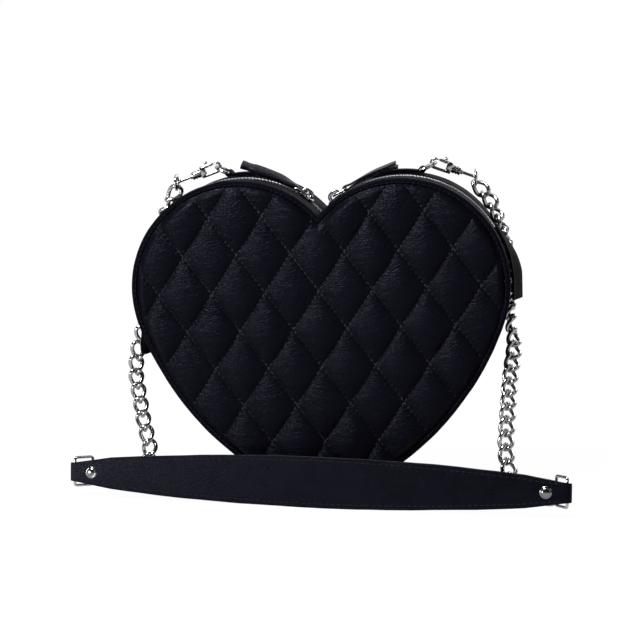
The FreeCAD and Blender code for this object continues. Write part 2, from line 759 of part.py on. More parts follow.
def make_hook():
    """Claw and neck cut from flat stock, with a round barrel for the swivel."""
    body = new_body("hook_right")
    thick = S["hook_thickness"]
    sketch = new_sketch(body, "hook_outline", "XZ_Plane", -thick / 2)
    seat, slot, claw = SEAT.value, SLOT.value, CLAW.value
    tip = add_line(sketch, (number("hook_tip"), claw), (number("hook_tip"), slot))
    roof = add_line(sketch, (number("hook_tip"), slot), (seat, slot))
    inner = add_arc(sketch, (seat, 0), slot, math.pi / 2, 3 * math.pi / 2)
    floor = add_line(sketch, (seat, -slot), (number("hook_neck"), -slot))
    wall = add_line(sketch, (number("hook_neck"), -slot), (number("hook_neck"), claw))
    head = add_line(sketch, (number("hook_neck"), claw), (BLOCK_END.value, claw))
    back = add_line(sketch, (BLOCK_END.value, claw), (BLOCK_END.value, -claw))
    base = add_line(sketch, (BLOCK_END.value, -claw), (seat, -claw))
    outer = add_arc(sketch, (seat, 0), claw, math.pi / 2, 3 * math.pi / 2)
    crest = add_line(sketch, (seat, claw), (number("hook_tip"), claw))
    joints = [(tip, 2, roof, 1), (roof, 2, inner, 1), (inner, 2, floor, 1), (floor, 2, wall, 1),
              (wall, 2, head, 1), (head, 2, back, 1), (back, 2, base, 1), (base, 2, outer, 2),
              (outer, 1, crest, 1), (crest, 2, tip, 1)]
    for joint in joints:
        hold(sketch, "Coincident", *joint)
    pin(sketch, tip, 1, S["hook_tip"], CLAW)
    pin(sketch, roof, 1, S["hook_tip"], SLOT)
    pin(sketch, inner, 3, SEAT, 0)
    hold(sketch, "Coincident", inner, 3, outer, 3)
    pin(sketch, inner, 1, SEAT, SLOT)
    pin(sketch, outer, 1, SEAT, CLAW)
    for line in (floor, base):
        hold(sketch, "Horizontal", line)
    hold(sketch, "Vertical", inner, 1, inner, 2)
    hold(sketch, "Vertical", outer, 1, outer, 2)
    pin(sketch, wall, 2, S["hook_neck"], CLAW)
    hold(sketch, "Vertical", wall)
    pin(sketch, back, 1, BLOCK_END, CLAW)
    hold(sketch, "Vertical", back)
    new_pad(body, sketch, "hook_pad", thick)
    add_cylinder(body, "Additive", "hook_barrel", S["barrel_radius"], S["barrel_length"],
                 (BLOCK_END, 0, 0), X_AXIS)
    slot_half = S["gate_thickness"] / 2 + S["gate_clearance"]
    room = S["hook_bar"] / 2 + S["gate_set_in"] + S["gate_clearance"]
    add_box(body, "Subtractive", "gate_slot", (S["hook_neck"], -slot_half, SLOT - S["gate_room"]),
            (room, slot_half * 2, CLAW))
    add_cylinder(body, "Subtractive", "pin_bore", PIN + S["running_clearance"], thick * 2,
                 (GATE_X, -thick, GATE_Z), Y_AXIS)
    add_cylinder(body, "Subtractive", "swivel_room", S["stem_head"] + S["head_play"], HEAD_END - BLOCK_END,
                 (BLOCK_END, 0, 0), X_AXIS)
    add_cylinder(body, "Subtractive", "stem_bore", S["stem_radius"] + S["running_clearance"],
                 S["barrel_length"] * 2, (BLOCK_END, 0, 0), X_AXIS)
    body.Placement = hook_place()
    return body


def make_gate():
    """Sprung gate that closes the claw, with its pin and thumb knob."""
    body = new_body("hook_gate_right")
    wide = S["gate_thickness"]
    sketch = new_sketch(body, "gate_outline", "XZ_Plane", -wide / 2)
    tip = S["hook_tip"] + S["gate_clearance"] * 2
    polygon(sketch, [(tip, SLOT), (GATE_X, SLOT), (GATE_X, CLAW), (tip, CLAW)])
    new_pad(body, sketch, "gate_bar", wide)
    add_cylinder(body, "Additive", "gate_root", S["hook_bar"] / 2, wide, (GATE_X, -wide / 2, GATE_Z), Y_AXIS)
    add_cylinder(body, "Additive", "gate_pin_round", PIN, S["hook_thickness"],
                 (GATE_X, -S["hook_thickness"] / 2, GATE_Z), Y_AXIS)
    knob_x = S["hook_neck"] - S["gate_knob"]
    add_cylinder(body, "Additive", "gate_knob_round", S["gate_knob"] / 2, S["hook_bar"] + S["gate_knob"],
                 (knob_x, 0, SLOT), Z_AXIS)
    body.Placement = hook_place()
    return body


def make_eye():
    """Headed stem that turns in the barrel, ending in an upright ring beside the stem."""
    body = new_body("swivel_eye_right")
    add_cylinder(body, "Additive", "stem_head_round", S["stem_head"], HEAD_END - HEAD_START - S["head_play"],
                 (HEAD_START, 0, 0), X_AXIS)
    add_cylinder(body, "Additive", "stem", S["stem_radius"], S["hook_reach"] - HEAD_START,
                 (HEAD_START, 0, 0), X_AXIS)
    eye = body.newObject("PartDesign::AdditiveTorus", "eye_round")
    eye.Placement = Placement(Vector(), Rotation(Y_AXIS, 90 - number("hook_tilt_angle")))
    bind(eye, "Radius1", S["eye_radius"])
    bind(eye, "Radius2", S["eye_wire"] / 2)
    bind(eye, "Placement.Base.x", S["hook_reach"])
    bind(eye, "Placement.Base.y", -S["eye_radius"])
    body.Placement = hook_place()
    return body


# Shoulder strap, made along X about its own middle and then turned and set in front of the heart

STRAP_PLACE = Placement(Vector(number("strap_offset"), -number("strap_forward"), 0),
                        Rotation(Z_AXIS, -number("strap_turn_angle")))
MID = S["strap_half_width"]
FOLD_BORE = S["end_ring_wire"] / 2 + S["end_ring_play"]
FOLD_OUTER = FOLD_BORE + S["strap_skin"]
FOLD_X = S["strap_length"] / 2 - FOLD_OUTER
FOLD_Y = FOLD_BORE - S["strap_gap"]
BACK_FACE = FOLD_Y + FOLD_BORE - S["strap_gap"]
RIVET_X = S["strap_length"] / 2 - S["rivet_inset"]
RIVET_BORE = S["rivet_post"] / 2 + S["strap_gap"]


def strap_outline(sketch, end):
    """A spindle: two long shallow arcs that taper to narrow straight ends."""
    shoulder, wide, narrow = S["strap_shoulder"], S["strap_shoulder_half"], S["strap_end_half"]
    rise = MID.value - wide.value
    radius = (shoulder.value ** 2 + rise ** 2) / (2 * rise)
    swing = math.asin(shoulder.value / radius)
    top = add_arc(sketch, (0, 2 * MID.value - radius), radius, math.pi / 2 - swing, math.pi / 2 + swing)
    low = add_arc(sketch, (0, radius), radius, -math.pi / 2 - swing, -math.pi / 2 + swing)
    ends = []
    for sign in (1, -1):
        spots = [(shoulder, MID + wide), (end, MID + narrow), (end, MID - narrow), (shoulder, MID - wide)]
        flat = [(sign * a.value, b.value) for a, b in spots]
        lines = [add_line(sketch, flat[k], flat[k + 1]) for k in range(3)]
        hold(sketch, "Coincident", lines[0], 2, lines[1], 1)
        hold(sketch, "Coincident", lines[1], 2, lines[2], 1)
        for line, spot in zip(lines, spots):
            pin(sketch, line, 1, sign * spot[0], spot[1])
        pin(sketch, lines[2], 2, sign * spots[3][0], spots[3][1])
        ends.append(lines)
    hold(sketch, "Coincident", top, 1, ends[0][0], 1)
    hold(sketch, "Coincident", top, 2, ends[1][0], 1)
    hold(sketch, "Coincident", low, 2, ends[0][2], 2)
    hold(sketch, "Coincident", low, 1, ends[1][2], 2)
    bend = (shoulder * shoulder + (MID - wide) * (MID - wide)) / (MID - wide) / 2
    hold_size(sketch, "Radius", (top,), bend)
    hold_size(sketch, "Radius", (low,), bend)


def make_strap_front():
    """Front leather: the spindle, folded back round each end ring into a short tail."""
    body = new_body("strap_front")
    skin = S["strap_skin"]
    sketch = new_sketch(body, "strap_front_outline", "XZ_Plane", S["strap_gap"])
    strap_outline(sketch, FOLD_X)
    new_pad(body, sketch, "strap_front_pad", skin)
    narrow = S["strap_end_half"]
    for tag, sign in (("left", -1), ("right", 1)):
        add_cylinder(body, "Additive", tag + "_fold", FOLD_OUTER, narrow * 2,
                     (sign * FOLD_X, FOLD_Y, MID - narrow), Z_AXIS)
        tail = new_sketch(body, tag + "_tail_outline", "XZ_Plane", -(FOLD_Y + FOLD_OUTER))
        half = S["tail_half"]
        polygon(tail, [(sign * FOLD_X, MID - half), (sign * (FOLD_X - S["tail_length"]), MID - half),
                       (sign * (FOLD_X - S["tail_length"]), MID + half), (sign * FOLD_X, MID + half)])
        new_pad(body, tail, tag + "_tail", skin)
        add_cylinder(body, "Subtractive", tag + "_fold_bore", FOLD_BORE, narrow * 4,
                     (sign * FOLD_X, FOLD_Y, MID - narrow * 2), Z_AXIS)
        add_box(body, "Subtractive", tag + "_fold_mouth",
                (sign * (FOLD_X - FOLD_OUTER) - FOLD_OUTER, FOLD_Y - FOLD_BORE, MID - narrow * 2),
                (FOLD_OUTER * 2, FOLD_BORE * 2, narrow * 4))
        add_cylinder(body, "Subtractive", tag + "_rivet_bore", RIVET_BORE, FOLD_OUTER * 8,
                     (sign * RIVET_X, -FOLD_OUTER * 4, MID), Y_AXIS)
    body.Placement = STRAP_PLACE
    return body


def make_strap_back():
    """Backing leather and stiffener between the front and the folded tails."""
    body = new_body("strap_back")
    sketch = new_sketch(body, "strap_back_outline", "XZ_Plane", -BACK_FACE)
    strap_outline(sketch, FOLD_X - FOLD_OUTER * 2)
    new_pad(body, sketch, "strap_back_pad", BACK_FACE)
    for tag, sign in (("left", -1), ("right", 1)):
        add_cylinder(body, "Subtractive", tag + "_back_bore", RIVET_BORE, FOLD_OUTER * 8,
                     (sign * RIVET_X, -FOLD_OUTER * 4, MID), Y_AXIS)
    body.Placement = STRAP_PLACE
    return body


def make_rivets():
    """Cap rivets through the strap near each end, one group."""
    rivets = []
    front = S["strap_gap"] + S["strap_skin"] + S["strap_gap"]
    rear = FOLD_Y + FOLD_OUTER + S["strap_gap"]
    cap = S["rivet_cap"] / 2
    for tag, sign in (("left", -1), ("right", 1)):
        body = new_body(tag + "_rivet")
        spot = sign * RIVET_X
        tall = S["rivet_cap_height"]
        add_cylinder(body, "Additive", tag + "_post", S["rivet_post"] / 2, front + rear,
                     (spot, -front, MID), Y_AXIS)
        add_cylinder(body, "Additive", tag + "_cap", cap, tall, (spot, -front - tall, MID), Y_AXIS)
        add_cylinder(body, "Additive", tag + "_back_cap", cap, tall, (spot, rear, MID), Y_AXIS)
        body.Placement = STRAP_PLACE
        rivets.append(body)
    group = doc.addObject("Part::Compound", "strap_rivets")
    group.Label = "strap_rivets"
    group.Links = rivets
    return group


def end_ring_place(sign):
    turn = Rotation(Z_AXIS, -sign * number("end_ring_lean_angle"))
    if sign > 0:
        turn = turn.multiply(Rotation(Z_AXIS, 180))
    return STRAP_PLACE.multiply(Placement(Vector(sign * FOLD_X.value, FOLD_Y.value, MID.value), turn))


def make_end_ring(name, sign):
    """Rectangular ring, its outer bar in the fold and its inner bar behind the strap."""
    body = new_body("strap_ring_" + name)
    wire, half, reach = S["end_ring_wire"] / 2, S["end_ring_half"], S["end_ring_reach"]
    for tag, across in (("outer", 0), ("inner", reach)):
        add_cylinder(body, "Additive", name + "_bar_" + tag, wire, half * 2, (across, 0, -half), Z_AXIS)
    for tag, up in (("low", -half), ("high", half)):
        add_cylinder(body, "Additive", name + "_arm_" + tag, wire, reach, (0, 0, up), X_AXIS)
        for spot, across in (("outer", 0), ("inner", reach)):
            corner = body.newObject("PartDesign::AdditiveSphere", "_".join((name, "corner", tag, spot)))
            bind(corner, "Radius", wire)
            bind(corner, "Placement.Base.x", across)
            bind(corner, "Placement.Base.z", up)
    body.Placement = end_ring_place(sign)
    return body


# Chains: oval links along a route from the swivel eye over the shoulder to the end ring of the strap

# the first points are set from the outside of the lobe, the last from the bar of the end ring, in lobe radii
HANG = {
    "left": [(0.1, -0.05, -0.16), (0.05, -0.2, -0.69), (-0.05, -0.35, -1.26)],
    "right": [(0.1, -0.07, -0.16), (0.04, -0.39, -0.58), (0.0, -0.77, -1.01), (-0.03, -1.04, -1.37)],
}
FOOT = {
    "left": [(-0.55, 0.11, 0.14), (-0.43, 0.05, -0.01), (-0.22, 0.01, -0.03)],
    "right": [(-0.4, 0.2, 0.15), (-0.31, 0.12, 0.01), (-0.15, 0.05, -0.03)],
}
SHOULDER_ANGLES = (36.0, 18.0, 2.0)


def make_link():
    """One flat oval link in the XY plane, long along X."""
    wire = number("link_wire") / 2
    bend = (number("link_width") - number("link_wire")) / 2
    straight = (number("link_pitch") + number("link_wire") + number("link_play")) / 2 - bend
    pieces = []
    for sign in (1, -1):
        turn = Part.makeTorus(bend, wire, Vector(), Z_AXIS, -180, 180, 180)
        turn.rotate(Vector(), Z_AXIS, -90 * sign)
        turn.translate(Vector(sign * straight, 0, 0))
        pieces.append(turn)
        pieces.append(Part.makeCylinder(wire, 2 * straight, Vector(-straight, sign * bend, 0), X_AXIS))
    return pieces[0].multiFuse(pieces[1:]).removeSplitter()


def chain_points(base, side, steps):
    unit = number("lobe_radius")
    return [base + Vector(side * out * unit, back * unit, up * unit) for out, back, up in steps]


def make_chain(name, side):
    centre = hook_place().multVec(Vector(number("hook_reach"), -number("eye_radius"), 0))
    seat = (number("link_wire") + number("link_play")) / 2
    eye_foot = Vector(side * centre.x, centre.y, centre.z - number("eye_radius"))
    route = []
    for angle in SHOULDER_ANGLES:
        across, up = polar(angle, number("lobe_radius") + number("chain_stand_off"))
        route.append(Vector(side * (number("lobe_spread") + across), centre.y, number("lobe_rise") + up))
    bar = end_ring_place(side).multVec(Vector(number("end_ring_reach"), 0, -number("chain_drop")))
    outside = Vector(side * (number("lobe_spread") + number("lobe_radius")), centre.y, number("lobe_rise"))
    route += chain_points(outside, side, HANG[name]) + chain_points(bar, side, FOOT[name])
    route.insert(0, eye_foot - (route[0] - eye_foot).normalize() * seat)
    inboard = STRAP_PLACE.Rotation.multVec(Vector(-side, 0, 0))
    route.append(bar - inboard * seat)
    curve = Part.BSplineCurve()
    curve.interpolate(route)
    edge = curve.toShape()
    count = math.ceil(edge.Length / number("link_pitch"))
    spots = edge.discretize(count + 1)
    link = make_link()
    frames = []
    normal = Y_AXIS
    for near, far in zip(spots, spots[1:]):
        along = (far - near).normalize()
        normal = (normal - along * normal.dot(along)).normalize()
        frames.append(((near + far) * 0.5, Rotation(along, normal.cross(along), normal, "XYZ")))
    # the first link hangs square on the eye, the last lies square to the upright bar of the end ring
    bar_up = frames[-1][1].inverted().multVec(Z_AXIS)
    quarter = 90 * ((count - 1) % 2)
    settle = (math.degrees(math.atan2(-bar_up.y, bar_up.z)) - quarter + 90) % 180 - 90
    links = []
    for index, (middle, turn) in enumerate(frames):
        twist = Rotation(X_AXIS, 90 * (index % 2) + settle * index / (count - 1))
        piece = link.copy()
        piece.Placement = Placement(middle, turn.multiply(twist))
        links.append(piece)
    print("chain_%s: %d links, %.2f mm pitch" % (name, count, edge.Length / count))
    chain = doc.addObject("Part::Feature", "chain_" + name)
    chain.Label = "chain_" + name
    chain.Shape = Part.makeCompound(links)
    return chain


# Build every piece, check it and write it out

def build():
    nodes = []
    for side, sign in (("front", -1), ("rear", 1)):
        nodes += make_panel(side, sign)
        nodes.append(make_lining(side, sign))
        nodes.append(make_binding(side, sign))
        nodes.append(make_teeth("zip_teeth_" + side, sign))
    nodes += make_gusset()
    for name, side in (("left", -1), ("right", 1)):
        nodes += [make_slider(name, side), make_bail(name, side), make_pull(name, side),
                  make_end_tab(name, side), make_end_ring(name, side), make_chain(name, side)]
    for piece in (make_ring_tab(), make_d_ring(), make_hook(), make_gate(), make_eye()):
        nodes += [piece, mirrored(piece.Label.replace("right", "left"), piece)]
    nodes += [make_strap_front(), make_strap_back(), make_rivets()]
    return nodes


def check(nodes):
    for item in doc.Objects:
        if "Invalid" in item.State or "Error" in item.State:
            raise RuntimeError(item.Label + " failed: " + ", ".join(item.State))
    for node in nodes:
        if node.Shape.isNull() or not node.Shape.isValid() or not node.Shape.Solids:
            raise RuntimeError(node.Label + " has no valid solid")


nodes = build()
doc.recompute()
check(nodes)
os.makedirs("parts", exist_ok=True)
for node in nodes:
    node.Shape.exportStep("parts/" + node.Label + ".step")
print("%d nodes written" % len(nodes))
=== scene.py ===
import bpy
import bmesh
import math
import numpy as np
from mathutils import Matrix, Vector


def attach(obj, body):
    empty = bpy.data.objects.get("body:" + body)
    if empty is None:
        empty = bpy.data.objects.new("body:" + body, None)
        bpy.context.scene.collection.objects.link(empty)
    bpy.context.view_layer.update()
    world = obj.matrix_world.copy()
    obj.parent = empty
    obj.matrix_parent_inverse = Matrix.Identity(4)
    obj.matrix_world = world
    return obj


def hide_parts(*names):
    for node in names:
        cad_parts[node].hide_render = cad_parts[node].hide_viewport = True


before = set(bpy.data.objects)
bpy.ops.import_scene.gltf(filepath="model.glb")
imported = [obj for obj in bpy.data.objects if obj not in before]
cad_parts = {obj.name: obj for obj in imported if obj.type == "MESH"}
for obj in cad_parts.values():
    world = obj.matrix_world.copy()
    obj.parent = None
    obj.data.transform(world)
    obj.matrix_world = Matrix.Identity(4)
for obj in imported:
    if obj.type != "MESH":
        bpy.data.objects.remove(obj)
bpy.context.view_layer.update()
scene = bpy.context.scene
scene.view_settings.view_transform = "Standard"
print("frame loaded:", len(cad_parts), "nodes")

# camera: degrees round the front and above the floor, millimetres elsewhere
cameraView = {"azimuth": 6.0, "elevation": 8.0, "roll": -1.4, "distance": 1050.0, "lens": 103.9,
              "target": (-0.1, -30.0, 103.4)}


def makeCamera(v):
    turn, lift = math.radians(v["azimuth"]), math.radians(v["elevation"])
    back = Vector((math.sin(turn) * math.cos(lift), -math.cos(turn) * math.cos(lift), math.sin(lift)))
    data = bpy.data.cameras.new("camera")
    data.lens = v["lens"]
    cam = bpy.data.objects.new("camera", data)
    look = (-back).to_track_quat("-Z", "Y").to_matrix().to_4x4()
    spot = (Vector(v["target"]) + back * v["distance"]) / 1000
    cam.matrix_world = Matrix.Translation(spot) @ look @ Matrix.Rotation(math.radians(v["roll"]), 4, "Z")
    scene.collection.objects.link(cam)
    scene.camera = cam


makeCamera(cameraView)


# shader maths: a wrapped socket takes part in Python expressions, and node() adds any other node
class Shade:
    def __init__(self, tree, socket=None):
        self.tree = tree
        self.socket = socket

    def node(self, kind, settings=None, inputs=None, out=0):
        made = self.tree.nodes.new("ShaderNode" + kind)
        for key, value in (settings or {}).items():
            setattr(made, key, value)
        for key, value in (inputs or {}).items():
            if isinstance(value, Shade):
                self.tree.links.new(value.socket, made.inputs[key])
            else:
                made.inputs[key].default_value = value
        return Shade(self.tree, made.outputs[out] if made.outputs else None)

    def calc(self, operation, *terms, clamp=False):
        return self.node("Math", {"operation": operation, "use_clamp": clamp}, dict(enumerate(terms)))

    def __add__(self, other):
        return self.calc("ADD", self, other)

    def __sub__(self, other):
        return self.calc("SUBTRACT", self, other)

    def __rsub__(self, other):
        return self.calc("SUBTRACT", other, self)

    def __mul__(self, other):
        return self.calc("MULTIPLY", self, other)

    __radd__ = __add__
    __rmul__ = __mul__

    def clamp(self):
        return self.calc("ADD", self, 0.0, clamp=True)

    def mixColour(self, share, first, second):
        return self.node("Mix", {"data_type": "RGBA"}, {0: share, 6: first, 7: second}, out=2)

    def place(self, scale=(1, 1, 1), turn=(0, 0, 0), source="Object"):
        # object coordinates, stretched and turned for one texture
        spot = self.node("TexCoord", out={"Object": 3, "UV": 2}[source])
        return self.node("Mapping", {}, {"Vector": spot, "Scale": scale, "Rotation": turn})

    def noise(self, scale, detail=3.0, rough=0.5, vector=None):
        return self.node("TexNoise", {}, {"Vector": vector or self.place(), "Scale": scale, "Detail": detail,
                                          "Roughness": rough})

    def attribute(self, name):
        return self.node("Attribute", {"attribute_name": name}, out=2)


def newMaterial(name):
    material = bpy.data.materials.new(name)
    material.use_nodes = True
    material.node_tree.nodes.clear()
    return material, Shade(material.node_tree)


def closeMaterial(kit, kind, inputs):
    kit.node("OutputMaterial", {}, {"Surface": kit.node(kind, {}, inputs)})


# black leather: fine creases drawn out along one way, pores, cloudy roughness and a cool tint;
# drift, pore and cloud are texture scales, bump a strength and a distance in metres
leatherLook = {"dark": (0.0008, 0.0008, 0.0016, 1), "light": (0.0023, 0.0023, 0.0049, 1), "shine": 0.26,
               "grain": 0.45, "pores": 0.4, "crease": 0.75, "specular": 0.039, "tint": (0.72, 0.73, 1.0, 1),
               "drift": 38.0, "pore": 1450.0, "cloud": 90.0, "bump": (0.7, 0.0008)}
edgeLook = dict(leatherLook, shine=0.42, specular=0.017)
dullLook = dict(leatherLook, shine=0.5, specular=0.012)
strapLook = dict(leatherLook, shine=0.27, specular=0.065, crease=0.22, grain=0.14)
pullLook = dict(leatherLook, shine=0.3, specular=0.1)
tabLook = dict(leatherLook, shine=0.45, specular=0.008)


def makeLeather(name, creaseScale, look=leatherLook, crest=False):
    material, kit = newMaterial(name)
    drift = kit.noise(look["drift"], 2.0)
    warp = kit.node("VectorMath", {"operation": "MULTIPLY_ADD"},
                    {0: drift, 1: (0.006, 0.006, 0.006), 2: kit.place()})
    long = kit.node("Mapping", {}, {"Vector": warp, "Scale": creaseScale})
    creases = kit.noise(1.0, 4.0, 0.62, long)
    folds = kit.node("TexVoronoi", {"feature": "DISTANCE_TO_EDGE"}, {"Vector": long, "Scale": 1.4})
    pores = kit.node("TexVoronoi", {"feature": "F1"}, {"Vector": kit.place(), "Scale": look["pore"]})
    cloud = kit.noise(look["cloud"], 3.0)
    valley = 1 - (folds * 6.0).clamp()
    height = creases * look["crease"] - valley * look["grain"] * 0.5 + pores * look["pores"] * 0.12
    # random cloudy tone; with crest the colour also follows the pillow height, darker in the quilting seams
    # and lighter on the pillow tops: painted shade
    cloudAndSeamShade = cloud
    if crest:
        cloudAndSeamShade = cloud * 0.5 + kit.attribute("crest") * 0.5
    colour = kit.mixColour(cloudAndSeamShade, look["dark"], look["light"])
    rough = look["shine"] + cloud * 0.16 + valley * 0.1 - creases * 0.1
    strength, distance = look["bump"]
    bump = kit.node("Bump", {}, {"Strength": strength, "Distance": distance, "Height": height})
    closeMaterial(kit, "BsdfPrincipled", {"Base Color": colour, "Roughness": rough, "Normal": bump,
                                          "Specular IOR Level": look["specular"],
                                          "Specular Tint": look["tint"]})
    return material


def makeThread(name, colour):
    material, kit = newMaterial(name)
    twist = kit.node("TexWave", {"bands_direction": "DIAGONAL"}, {"Vector": kit.place(), "Scale": 900.0})
    # the colour is lighter on the raised part of the twist: a painted highlight along the plies
    shade = kit.mixColour(twist * 0.6, colour, tuple(c * 2.2 for c in colour[:3]) + (1,))
    bump = kit.node("Bump", {}, {"Strength": 0.4, "Distance": 0.0001, "Height": twist})
    closeMaterial(kit, "BsdfPrincipled", {"Base Color": shade, "Roughness": 0.62, "Normal": bump,
                                          "Specular IOR Level": 0.08})
    return material


# polished nickel plate: a clean mirror with faint smears and hair scratches
def makeChrome(name, tone=0.38, shine=0.08):
    material, kit = newMaterial(name)
    smear = kit.noise(160.0, 4.0, 0.6)
    hair = kit.noise(1.0, 2.0, 0.5, kit.place((2600, 500, 900), (0.3, 0.5, 0.2)))
    colour = kit.mixColour(smear, (tone, tone, tone * 1.01, 1), (tone * 0.86, tone * 0.86, tone * 0.88, 1))
    rough = shine + smear * 0.08 + (hair - 0.5) * 0.05
    bump = kit.node("Bump", {}, {"Strength": 0.06, "Distance": 0.0002, "Height": hair})
    closeMaterial(kit, "BsdfPrincipled", {"Base Color": colour, "Roughness": rough, "Metallic": 1.0,
                                          "Normal": bump})
    return material


# woven cloth: over and under threads from the piece's own UV in millimetres
def makeCloth(name, dark, light, pitch):
    material, kit = newMaterial(name)
    uv = kit.node("SeparateXYZ", {}, {0: kit.place(source="UV")})
    across = Shade(kit.tree, uv.socket.node.outputs[1])
    turnRate = 2 * math.pi / pitch
    over = kit.calc("SINE", uv * turnRate) * kit.calc("SINE", across * turnRate)
    weave = over * 0.5 + 0.5
    fuzz = kit.noise(700.0, 3.0)
    colour = kit.mixColour((weave * 0.7 + fuzz * 0.3).clamp(), dark, light)
    bump = kit.node("Bump", {}, {"Strength": 0.5, "Distance": 0.0003, "Height": weave + fuzz * 0.3})
    closeMaterial(kit, "BsdfPrincipled", {"Base Color": colour, "Roughness": 0.85 + fuzz * 0.1,
                                          "Normal": bump, "Specular IOR Level": 0.2})
    return material


panelLeather = makeLeather("quilted_leather", (230, 230, 600), crest=True)
edgeLeather = makeLeather("edge_leather", (420, 420, 420), edgeLook)
gussetLeather = makeLeather("gusset_leather", (330, 620, 330), dullLook)
strapLeather = makeLeather("strap_leather", (190, 420, 720), strapLook)
pullLeather = makeLeather("pull_leather", (300, 300, 420), pullLook)
tabLeather = makeLeather("tab_leather", (380, 380, 520), tabLook)
quiltCotton = makeThread("quilt_thread", (0.012, 0.012, 0.017, 1))
thread = makeThread("black_thread", (0.0035, 0.0035, 0.0055, 1))
chrome = makeChrome("polished_nickel")
chainChrome = makeChrome("chain_nickel", 0.36, 0.1)
toothChrome = makeChrome("zip_metal", 0.55, 0.26)
# the strap rivets get a darker copy of the nickel: painted shade standing in for the dark reflections on
# their caps
shadedRivetChrome = makeChrome("rivet_nickel", 0.2, 0.1)
tapeCloth = makeCloth("zip_tape_cloth", (0.006, 0.006, 0.008, 1), (0.022, 0.022, 0.026, 1), 0.7)
liningCloth = makeCloth("lining_cloth", (0.009, 0.009, 0.011, 1), (0.03, 0.03, 0.034, 1), 0.5)
print("materials made")


def faceGrid(nu, nv, wrapU=False, wrapV=False):
    # quads between neighbouring points of a grid, closed round where asked
    u, v = np.meshgrid(np.arange(nu - (not wrapU)), np.arange(nv - (not wrapV)), indexing="ij")
    nextU, nextV = (u + 1) % nu, (v + 1) % nv
    return np.stack([u * nv + v, nextU * nv + v, nextU * nv + nextV, u * nv + nextV], -1).reshape(-1, 4)


# stage: a pale floor that runs up into a backdrop, white to the camera and to mirrors but still shaded
stageLook = {"wide": 24.0, "front": -8.0, "wall": 1.7, "bend": 0.9, "top": 3.2, "shaded": 0.12, "glow": 1.09}


def makeStage(v):
    run = np.linspace(v["front"], v["wall"] - v["bend"], 24)
    turn = np.linspace(0, math.pi / 2, 24)[1:]
    y = np.concatenate([run, run[-1] + v["bend"] * np.sin(turn), [v["wall"]]])
    z = np.concatenate([0 * run, v["bend"] * (1 - np.cos(turn)), [v["top"]]])
    x = np.linspace(-v["wide"] / 2, v["wide"] / 2, 9)
    grid = np.stack(np.broadcast_arrays(x[:, None], y[None], z[None]), -1)
    mesh = bpy.data.meshes.new("floor_sweep")
    mesh.from_pydata(grid.reshape(-1, 3).tolist(), [], faceGrid(*grid.shape[:2]).tolist())
    mesh.shade_smooth()
    floor = bpy.data.objects.new("floor_sweep", mesh)
    scene.collection.objects.link(floor)
    material, kit = newMaterial("floor_paper")
    path = kit.node("LightPath")
    outs = path.socket.node.outputs
    seen = Shade(kit.tree, outs["Is Camera Ray"]) + Shade(kit.tree, outs["Is Glossy Ray"])
    seen = (seen + Shade(kit.tree, outs["Is Transmission Ray"])).clamp()
    matt = kit.node("BsdfDiffuse", {}, {"Color": (0.5, 0.5, 0.51, 1)})
    glow = kit.node("Emission", {}, {"Color": (1, 1, 1, 1), "Strength": v["glow"]})
    closeMaterial(kit, "MixShader", {0: seen * (1 - v["shaded"]), 1: matt, 2: glow})
    mesh.materials.append(material)


makeStage(stageLook)

# lamps, in watts and metres: one over the left shoulder, one low at the left, soft ones above, behind, right
lamps = {
    "key": {"place": (-0.36, -0.42, 0.86), "size": 0.36, "power": 20.0},
    "top": {"place": (0.05, 0.2, 1.25), "size": 0.8, "power": 4.0},
    "left": {"place": (-1.12, -0.97, 0.14), "size": 0.4, "power": 13.0},
    "right": {"place": (1.1, -0.5, 0.7), "size": 0.6, "power": 1.5},
    "back": {"place": (0.75, 1.05, 0.9), "size": 0.6, "power": 7.0},
}
roomLight = {"colour": (0.80, 0.84, 0.92, 1), "strength": 0.05}


def makeLights():
    for name, v in lamps.items():
        data = bpy.data.lights.new(name, "AREA")
        data.shape = "DISK"
        data.size = v["size"]
        data.energy = v["power"]
        lamp = bpy.data.objects.new(name, data)
        aim = Vector((0, 0, 0.1)) - Vector(v["place"])
        lamp.matrix_world = Matrix.Translation(v["place"]) @ aim.to_track_quat("-Z", "Y").to_matrix().to_4x4()
        scene.collection.objects.link(lamp)
    world = bpy.data.worlds.new("room")
    world.use_nodes = True
    world.node_tree.nodes.clear()
    kit = Shade(world.node_tree)
    air = kit.node("Background", {}, {0: roomLight["colour"], 1: roomLight["strength"]})
    kit.node("OutputWorld", {}, {0: air})
    scene.world = world


makeLights()
print("camera, stage and lamps made")


# mesh helpers: shapes are pairs of points (millimetres) and faces
def gridShape(grid, wrapU=False, wrapV=False, caps=False):
    # a grid of points as a skin; caps close both ends of a tube with a middle point
    nu, nv = grid.shape[:2]
    points = grid.reshape(-1, 3)
    faces = faceGrid(nu, nv, wrapU, wrapV).tolist()
    if caps:
        ends = np.stack([grid[0].mean(0), grid[-1].mean(0)])
        ring = np.arange(nv)
        after = (ring + 1) % nv
        start, last = np.full(nv, nu * nv), np.full(nv, nu * nv + 1)
        faces += np.stack([start, after, ring], -1).tolist()
        faces += np.stack([last, (nu - 1) * nv + ring, (nu - 1) * nv + after], -1).tolist()
        points = np.concatenate([points, ends])
    return points, faces


def stackRings(rings):
    # closed rings of points one above the other, closed at both ends
    return gridShape(np.stack(rings), False, True, True)


def joinShapes(*shapes):
    points, faces, base = [], [], 0
    for p, f in shapes:
        points.append(p)
        faces += [[i + base for i in face] for face in f]
        base += len(p)
    return np.concatenate(points), faces


def mirrorShape(shape):
    return shape[0] * (-1, 1, 1), [face[::-1] for face in shape[1]]


def unit(v):
    return v / np.maximum(np.linalg.norm(v, axis=-1, keepdims=True), 1e-9)


